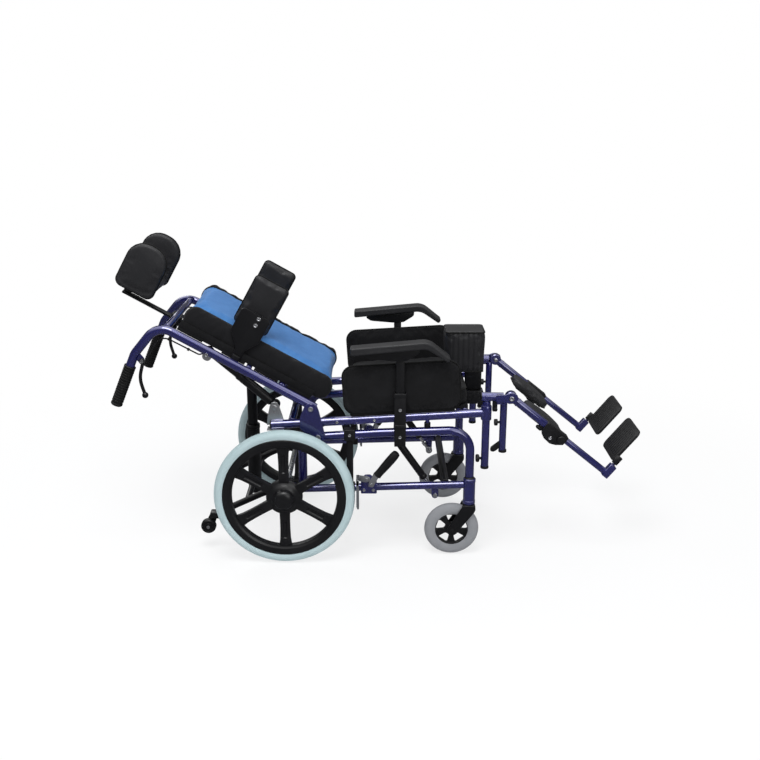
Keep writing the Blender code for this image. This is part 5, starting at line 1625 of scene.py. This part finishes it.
def rounded_loop(width, depth, radius, pull=0.0, steps=7, spacing=0.012):
    """Points round a rectangle with round corners, its sides pulled in between them."""
    points = []
    half_w, half_d = 0.5 * width, 0.5 * depth
    centres = ((half_w - radius, half_d - radius), (radius - half_w, half_d - radius),
               (radius - half_w, radius - half_d), (half_w - radius, radius - half_d))
    for quarter, (cx, cy) in enumerate(centres):
        for step in range(steps + 1):
            angle = math.radians(90.0 * (quarter + step / steps))
            points.append((cx + radius * math.cos(angle), cy + radius * math.sin(angle)))
    filled = []
    for first, second in zip(points, points[1:] + points[:1]):
        filled.append(first)
        length = math.dist(first, second)
        parts = max(1, round(length / spacing))
        for part in range(1, parts):
            filled.append((first[0] + (second[0] - first[0]) * part / parts,
                           first[1] + (second[1] - first[1]) * part / parts))
    return [pulled_in(point, half_w, half_d, pull) for point in filled]


def pulled_in(point, half_w, half_d, pull):
    """Draw a plan point towards the middle where it lies on a side, not on a corner."""
    x, y = point
    x -= math.copysign(pull, x) * (abs(x) / half_w) ** 4 * max(0.0, 1.0 - (y / half_d) ** 2)
    y -= math.copysign(pull, y) * (abs(y) / half_d) ** 4 * max(0.0, 1.0 - (x / half_w) ** 2)
    return (x, y)


def piping(name, points, radius=0.0026):
    """A sewn-in cord round a seam: a closed chain of edges given a round section."""
    cord = draw_chain(points)
    bpy.ops.mesh.edge_face_add()
    bpy.ops.mesh.delete(type="ONLY_FACE")
    stop_editing()
    bake_place(cord)
    pick(cord)
    bpy.ops.object.convert(target="CURVE")
    cord = bpy.context.object
    cord.data.bevel_depth = radius
    cord.data.bevel_resolution = 3
    bpy.ops.object.convert(target="MESH")
    cord = outward(bpy.context.object)
    cord.name = name
    return smooth(cord, 80.0)


def set_down(obj, place):
    """Bake a pad, made about the origin, into its place."""
    obj.matrix_world = place
    return bake_place(obj)


SEAT_LEAN = Matrix.Rotation(-math.atan(SEAT_SLOPE), 4, "Y")


def seat_place(x, height, y=0.0):
    """The place of something lying parallel to the seat rails."""
    return Matrix.Translation((x, y, rail_height(x) + height)) @ SEAT_LEAN


BACK_LEAN = Matrix.Rotation(math.atan2(BACK_RISE, BACK_RUN), 4, "Y")
LEG_LEAN = Matrix.Rotation(math.atan2(LEG_DROP, LEG_RUN), 4, "Y")

# %% [markdown]
# Seat cushion. A boxed cushion in black cover cloth lies on the seat board. Its underside
# and both seam lines are held, so the top crowns and the border swells a little.

# %% Seat cushion
SEAT_SIZE = Vector((0.330, 0.350, 0.045))
seat_pad = even_squares(pad_block(SEAT_SIZE, [(2, 0.030)], 0.006), 0.0055)
for vertex in seat_pad.data.vertices:
    vertex.co.x, vertex.co.y = pulled_in((vertex.co.x, vertex.co.y), 0.165, 0.175, 0.003)


def seat_held(point):
    """The underside, and the upper seam line round the plan."""
    on_border = abs(point.x) > 0.152 or abs(point.y) > 0.162
    return point.z < -0.018 or (on_border and abs(point.z - 0.0185) < 0.0035)


blow_up(seat_pad, seat_held, 0.009, 4.0, 0.02)
seat_level = seat_place(0.353, 0.0438)
set_down(seat_pad, seat_level)
smooth(seat_pad, 80.0)
seat_pad.name = "seat_pad"
carry(seat_pad, "seat", black_cloth, "seat_cushion")
seam = [seat_level @ Vector((x, y, 0.0195)) for x, y in rounded_loop(0.3285, 0.3485, 0.030, 0.003)]
carry(piping("seat_piping", seam), "seat", piping_cloth)

# %% [markdown]
# Back cushion. It is deep, with black borders at its sides and a blue panel that runs over
# both rounded ends. Black piping lies on the two seams. The two cloths are one material
# that changes across the width, so the line between them is clean on any mesh.

# %% Two-tone cover


def make_two_tone(name, edge_y):
    """Blue cloth between the seams and black cloth on the borders."""
    made = blue_cloth.copy()
    made.name = name
    tree = made.node_tree
    shader = tree.nodes["Principled BSDF"]
    old = shader.inputs["Base Color"].links[0].from_socket
    place = tree.nodes.new("ShaderNodeTexCoord").outputs["Object"]
    axes = tree.nodes.new("ShaderNodeSeparateXYZ")
    tree.links.new(place, axes.inputs[0])
    away = math_node(tree, "ABSOLUTE", axes.outputs["Y"], 0.0)
    border = stretch(tree, away, edge_y - 0.0006, edge_y + 0.0006)
    tree.links.new(blend_colours(tree, border, old, (0.007, 0.007, 0.008)), shader.inputs["Base Color"])
    return made


back_cover = make_two_tone("back_cover_cloth", 0.1440)

# %% Back cushion
BACK_LENGTH, BACK_WIDTH, BACK_DEPTH = 0.458, 0.324, 0.064
back_pad = pad_block((BACK_LENGTH, BACK_WIDTH, BACK_DEPTH), [(1, 0.0305)], 0.006)
back_pad = even_squares(back_pad, 0.0055)
for vertex in back_pad.data.vertices:
    middle_share = max(0.0, 1.0 - (vertex.co.x / 0.229) ** 2)
    vertex.co.y -= math.copysign(0.0035, vertex.co.y) * (abs(vertex.co.y) / 0.162) ** 4 * middle_share


def back_held(point):
    """The rear face on its board, and the seam line of each border."""
    at_seam = abs(abs(point.y) - 0.1440) < 0.0035
    on_rim = abs(point.x) > 0.212 or point.z > 0.026
    return (point.z < -0.027 and abs(point.x) < 0.20) or (at_seam and on_rim)


blow_up(back_pad, back_held, 0.011, 4.5, 0.02)


def bolster(point):
    """Raise the borders of the front face, so they stand up a little beside the trunk."""
    share = min(1.0, max(0.0, (abs(point.y) - 0.139) / 0.015))
    height = min(1.0, max(0.0, point.z / 0.030))
    return point + Vector((0.0, 0.0, 0.0085 * height * share * share * (3.0 - 2.0 * share)))


back_level = Matrix.Translation(at(back_point(0.200, 0.0512), 0.0)) @ BACK_LEAN
for vertex in back_pad.data.vertices:
    vertex.co = bolster(vertex.co)
set_down(back_pad, back_level)
smooth(back_pad, 80.0)
back_pad.name = "back_pad"
carry(back_pad, "back", back_cover, "back_cushion")
back_seams = []
for side in (NEAR, FAR):
    loop = rounded_loop(BACK_LENGTH - 0.0006, BACK_DEPTH - 0.0004, 0.0300)
    seam = [back_level @ bolster(Vector((x, side * (0.1450 - 0.0022 * max(0.0, 1.0 - (x / 0.229) ** 2)), z)))
            for x, z in loop]
    back_seams.append(piping("back_piping", seam, 0.0033))
carry(merge("back_piping", *back_seams), "back", piping_cloth)
print("seat and back done")

# %% [markdown]
# Side panels. A thin padded panel stands beside each hip, with piping round its rim. It
# is held all round its middle line, so both faces swell. The near one is made and blown
# up, and the far one is its mirror image.

# %% Side panels
panel = even_squares(pad_block((0.324, 0.136, 0.0130), [(2, 0.0300)], 0.0045), 0.0045)


def panel_held(point):
    """The rim of the panel."""
    edge_x, edge_y = 0.162 - abs(point.x), 0.068 - abs(point.y)
    return min(edge_x, edge_y) < 0.0025 or (edge_x + edge_y) < 0.0175


blow_up(panel, panel_held, 0.0045, 3.0, 0.03)
panel_level = seat_place(0.3315, 0.0910, -0.2035) @ rotation(90.0, "X")
set_down(panel, panel_level)
smooth(panel, 80.0)
for pad in both_sides(panel, "hip_panel", "seat", black_cloth, ["side_panel"]):
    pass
seam = [panel_level @ Vector((x, y, 0.0)) for x, y in rounded_loop(0.3262, 0.1382, 0.0305)]
hem = block("panel_hem", (-0.146, 0.146), (-0.0782, -0.0640), (-0.0009, 0.0009), 0.0006)
set_down(hem, panel_level)
both_sides(merge("panel_edge", piping("panel_piping", seam, 0.0030), hem), "panel_piping", "seat",
           piping_cloth)

# %% [markdown]
# Calf pads are small and firm. Each lies level with its leg tube, on a board that rests
# on a bracket of the tube's clamp.

# %% Calf pads
calf = even_squares(pad_block((0.129, 0.093, 0.0225), [(2, 0.0240)], 0.0060), 0.0042)
blow_up(calf, lambda point: point.z < -0.0085, 0.0050, 4.0, 0.02)
calf_middle = leg_point(0.133, -0.0040)
calf_level = Matrix.Translation(at(calf_middle, -0.129)) @ LEG_LEAN
set_down(calf, calf_level)
smooth(calf, 80.0)
for pad in both_sides(calf, "calf_cushion", "leg", arm_vinyl, ["calf_pad"]):
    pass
seam = [calf_level @ Vector((x, y, -0.0060)) for x, y in rounded_loop(0.1302, 0.0942, 0.0245)]
both_sides(piping("calf_piping", seam, 0.0022), "calf_piping", "leg", piping_cloth)
calf_plate = block("calf_plate", (-0.050, 0.050), (-0.036, 0.036), (-0.0137, -0.0113), 0.0010)
set_down(calf_plate, calf_level)
tab = slab("calf_tab", leg_point, (0.1355, 0.1645), (-0.0238, -0.0181), (-0.1010, -0.1812), 0.0012)
both_sides(merge("calf_plate", calf_plate, tab), "calf_plate", "leg", black_paint)

# %% [markdown]
# Trunk supports. Each pad has a bent black bracket that runs back beside the cane. The
# pads are upholstered boards, so they are blown up a little on both faces.

# %% Trunk supports
lateral = even_squares(pad_block((0.100, 0.148, 0.0215), [(2, 0.0120)], 0.0060), 0.0042)
blow_up(lateral, lambda point: abs(point.z) < 0.0045 and (abs(point.x) > 0.045 or abs(point.y) > 0.0690),
        0.0045, 4.0, 0.03)
lateral_level = (Matrix.Translation(at(back_point(0.256, 0.1705), -0.1165)) @ BACK_LEAN
                 @ rotation(-90.0, "X"))
set_down(lateral, lateral_level)
smooth(lateral, 80.0)
for pad in both_sides(lateral, "trunk_pad", "lateral", arm_vinyl, ["lateral_support"]):
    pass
seam = [lateral_level @ Vector((x, y, 0.0)) for x, y in rounded_loop(0.1012, 0.1492, 0.0125)]
both_sides(piping("trunk_piping", seam, 0.0022), "trunk_piping", "lateral", piping_cloth)
brace = [back_point(u, n) for u, n in round_corners(
    [(0.256, 0.1570), (0.2125, 0.1570), (0.2125, 0.0850), (0.2385, 0.0450), (0.2385, 0.0075),
     (0.2635, 0.0075), (0.2635, 0.0450), (0.2995, 0.0850), (0.2995, 0.1570), (0.256, 0.1570)],
    [0.010, 0.012, 0.012, 0.002, 0.002, 0.012, 0.012, 0.010], 5)[:-1]]
arm_parts = [slab("trunk_arm", back_point, (0.2365, 0.2655), (0.1315, 0.1490), (-0.1250, -0.1745), 0.0020, 3),
             flat_plate("trunk_leg", brace, (-0.1706, -0.1749), 0.0010, 2),
             slab("trunk_foot", back_point, (0.2405, 0.2615), (0.0065, 0.0255), (-0.1732, -0.1818), 0.0016,
                  3)]
both_sides(merge("trunk_bracket", *arm_parts), "trunk_bracket", "lateral", black_paint)
bolts = [screw_head("trunk_bolt", at(back_point(0.2445, n), -0.1749), (0, -1, 0), 0.0062, 0.0030)
         for n in (0.127, 0.1475)]
both_sides(merge("trunk_bolts", *bolts), "trunk_bolts", "lateral", bright_plate)
print("panels, calf pads and trunk supports done")

# %% [markdown]
# Headrest. Two rounded wings stand on a thick base. The three shells overlap, and the
# remesh fuses them into one cover before it is blown up. Its outer rims are held.

# %% Headrest


def wing_outline(inset):
    """The outline of a wing along the back, drawn in from its full size."""
    low, high, rear, front = 0.532 + inset, 0.652 - inset, 0.0195 + inset, 0.170 - inset
    path = round_corners([(high, 0.08), (high, rear), (low, rear), (low, front), (high, front), (high, 0.08)],
                         [0.020, 0.020, 0.052, 0.052], 7)
    return [back_point(*point) for point in path[:-1]]


head_parts = [flat_plate("head_wing", wing_outline(0.0035), (side * 0.0862, side * 0.1065), 0.0)
              for side in (NEAR, FAR)]
head_base = [back_point(u, n) for u, n in round_corners(
    [(0.592, 0.0230), (0.5355, 0.0230), (0.5355, 0.0590), (0.6485, 0.0590), (0.6485, 0.0230),
     (0.592, 0.0230)],
    [0.018, 0.010, 0.010, 0.018], 5)[:-1]]
head_parts.append(flat_plate("head_base", head_base, (-0.1065, 0.1065), 0.0))
for part in head_parts:
    soften_edges(part, 0.0085, 4, 50.0)
head = even_squares(merge("head_pad", *head_parts), 0.0052)


def head_held(point):
    """The middle line of each wing's rim, and the rear of the base."""
    dx, dz = point.x - RECLINE_HINGE[0], point.z - RECLINE_HINGE[1]
    u, n = -BACK_RUN * dx + BACK_RISE * dz, BACK_RISE * dx + BACK_RUN * dz
    rim = min(u - 0.5355, 0.6485 - u, 0.1665 - n)
    return n < 0.027 or (rim < 0.004 and abs(abs(point.y) - 0.0963) < 0.004)


blow_up(head, head_held, 0.0045, 4.0, 0.03)
smooth(head, 80.0)
carry(head, "headrest", arm_vinyl, "headrest_pad")
head.name = "head_pad"
head_seams = []
for side in (NEAR, FAR):
    outline = wing_outline(0.0028)
    head_seams.append(piping("head_piping", [at(point, side * 0.0963) for point in outline], 0.0022))
carry(merge("head_piping", *head_seams), "headrest", piping_cloth)
ears = [slab("head_ear", back_point, (0.606, 0.626), (-0.0105, 0.0300), (low, low + 0.0056), 0.0014, 3)
        for low in (-0.0123, 0.0067)]
ears.append(slab("head_plate", back_point, (0.590, 0.642), (0.0160, 0.0205), (-0.040, 0.040), 0.0016, 3))
carry(merge("head_ears", *ears), "headrest", black_paint)

# %% [markdown]
# Pommel. It keeps the knees apart, and lifts out on a flat stem. The cover is stitched in
# upright channels, and they are pressed in after the cover has been blown up, because a
# remesh would lose them.

# %% Pommel
pommel_pad = even_squares(pad_block((0.109, 0.095, 0.1250), [(2, 0.0100)], 0.0050), 0.0042)
for vertex in pommel_pad.data.vertices:
    flare = 1.0 + 0.035 * vertex.co.z / 0.0625
    vertex.co.x *= flare
    vertex.co.y *= flare
blow_up(pommel_pad, lambda point: abs(abs(point.z) - 0.0585) < 0.0040 or point.z < -0.060, 0.0040, 3.5, 0.02)
CHANNELS = (-0.0375, -0.0225, -0.0075, 0.0075, 0.0225, 0.0375)
for vertex in pommel_pad.data.vertices:
    if abs(vertex.co.y) > 0.040 and abs(vertex.co.z) < 0.060:
        nearest = min(abs(vertex.co.x - channel) for channel in CHANNELS)
        vertex.co.y -= math.copysign(0.0024 * math.exp(-(nearest / 0.0026) ** 2), vertex.co.y)
pommel_level = Matrix.Translation((0.5195, 0.0, 0.5680))
set_down(pommel_pad, pommel_level)
smooth(pommel_pad, 80.0)
pommel_pad.name = "pommel_pad"
carry(pommel_pad, "pommel", arm_vinyl, "pommel")
pommel_seams = [piping("pommel_piping", [pommel_level @ Vector((x, y, height)) for x, y in
                                         rounded_loop(width, depth, 0.0110, 0.0, 7, 0.012)], 0.0021)
                for height, width, depth in ((0.0590, 0.1132, 0.0988), (-0.0590, 0.1058, 0.0922))]
carry(merge("pommel_piping", *pommel_seams), "pommel", piping_cloth)
stem = block("pommel_stem", (0.5391, 0.5609), (-0.0069, 0.0069), (0.4020, 0.5100), 0.0012, 3)
holes = [pin("stem_hole", (0.550, height), -0.0074, -0.0066, 0.0030, 20, 0.0002)
         for height in (0.452, 0.468, 0.484)]
holder = block("pommel_holder", (0.5250, 0.5740), (-0.0085, 0.0085), (0.4415, 0.5068), 0.0016, 3)
carry(merge("pommel_stem", stem, *holes, holder), "pommel", black_paint)
print("headrest and pommel done")
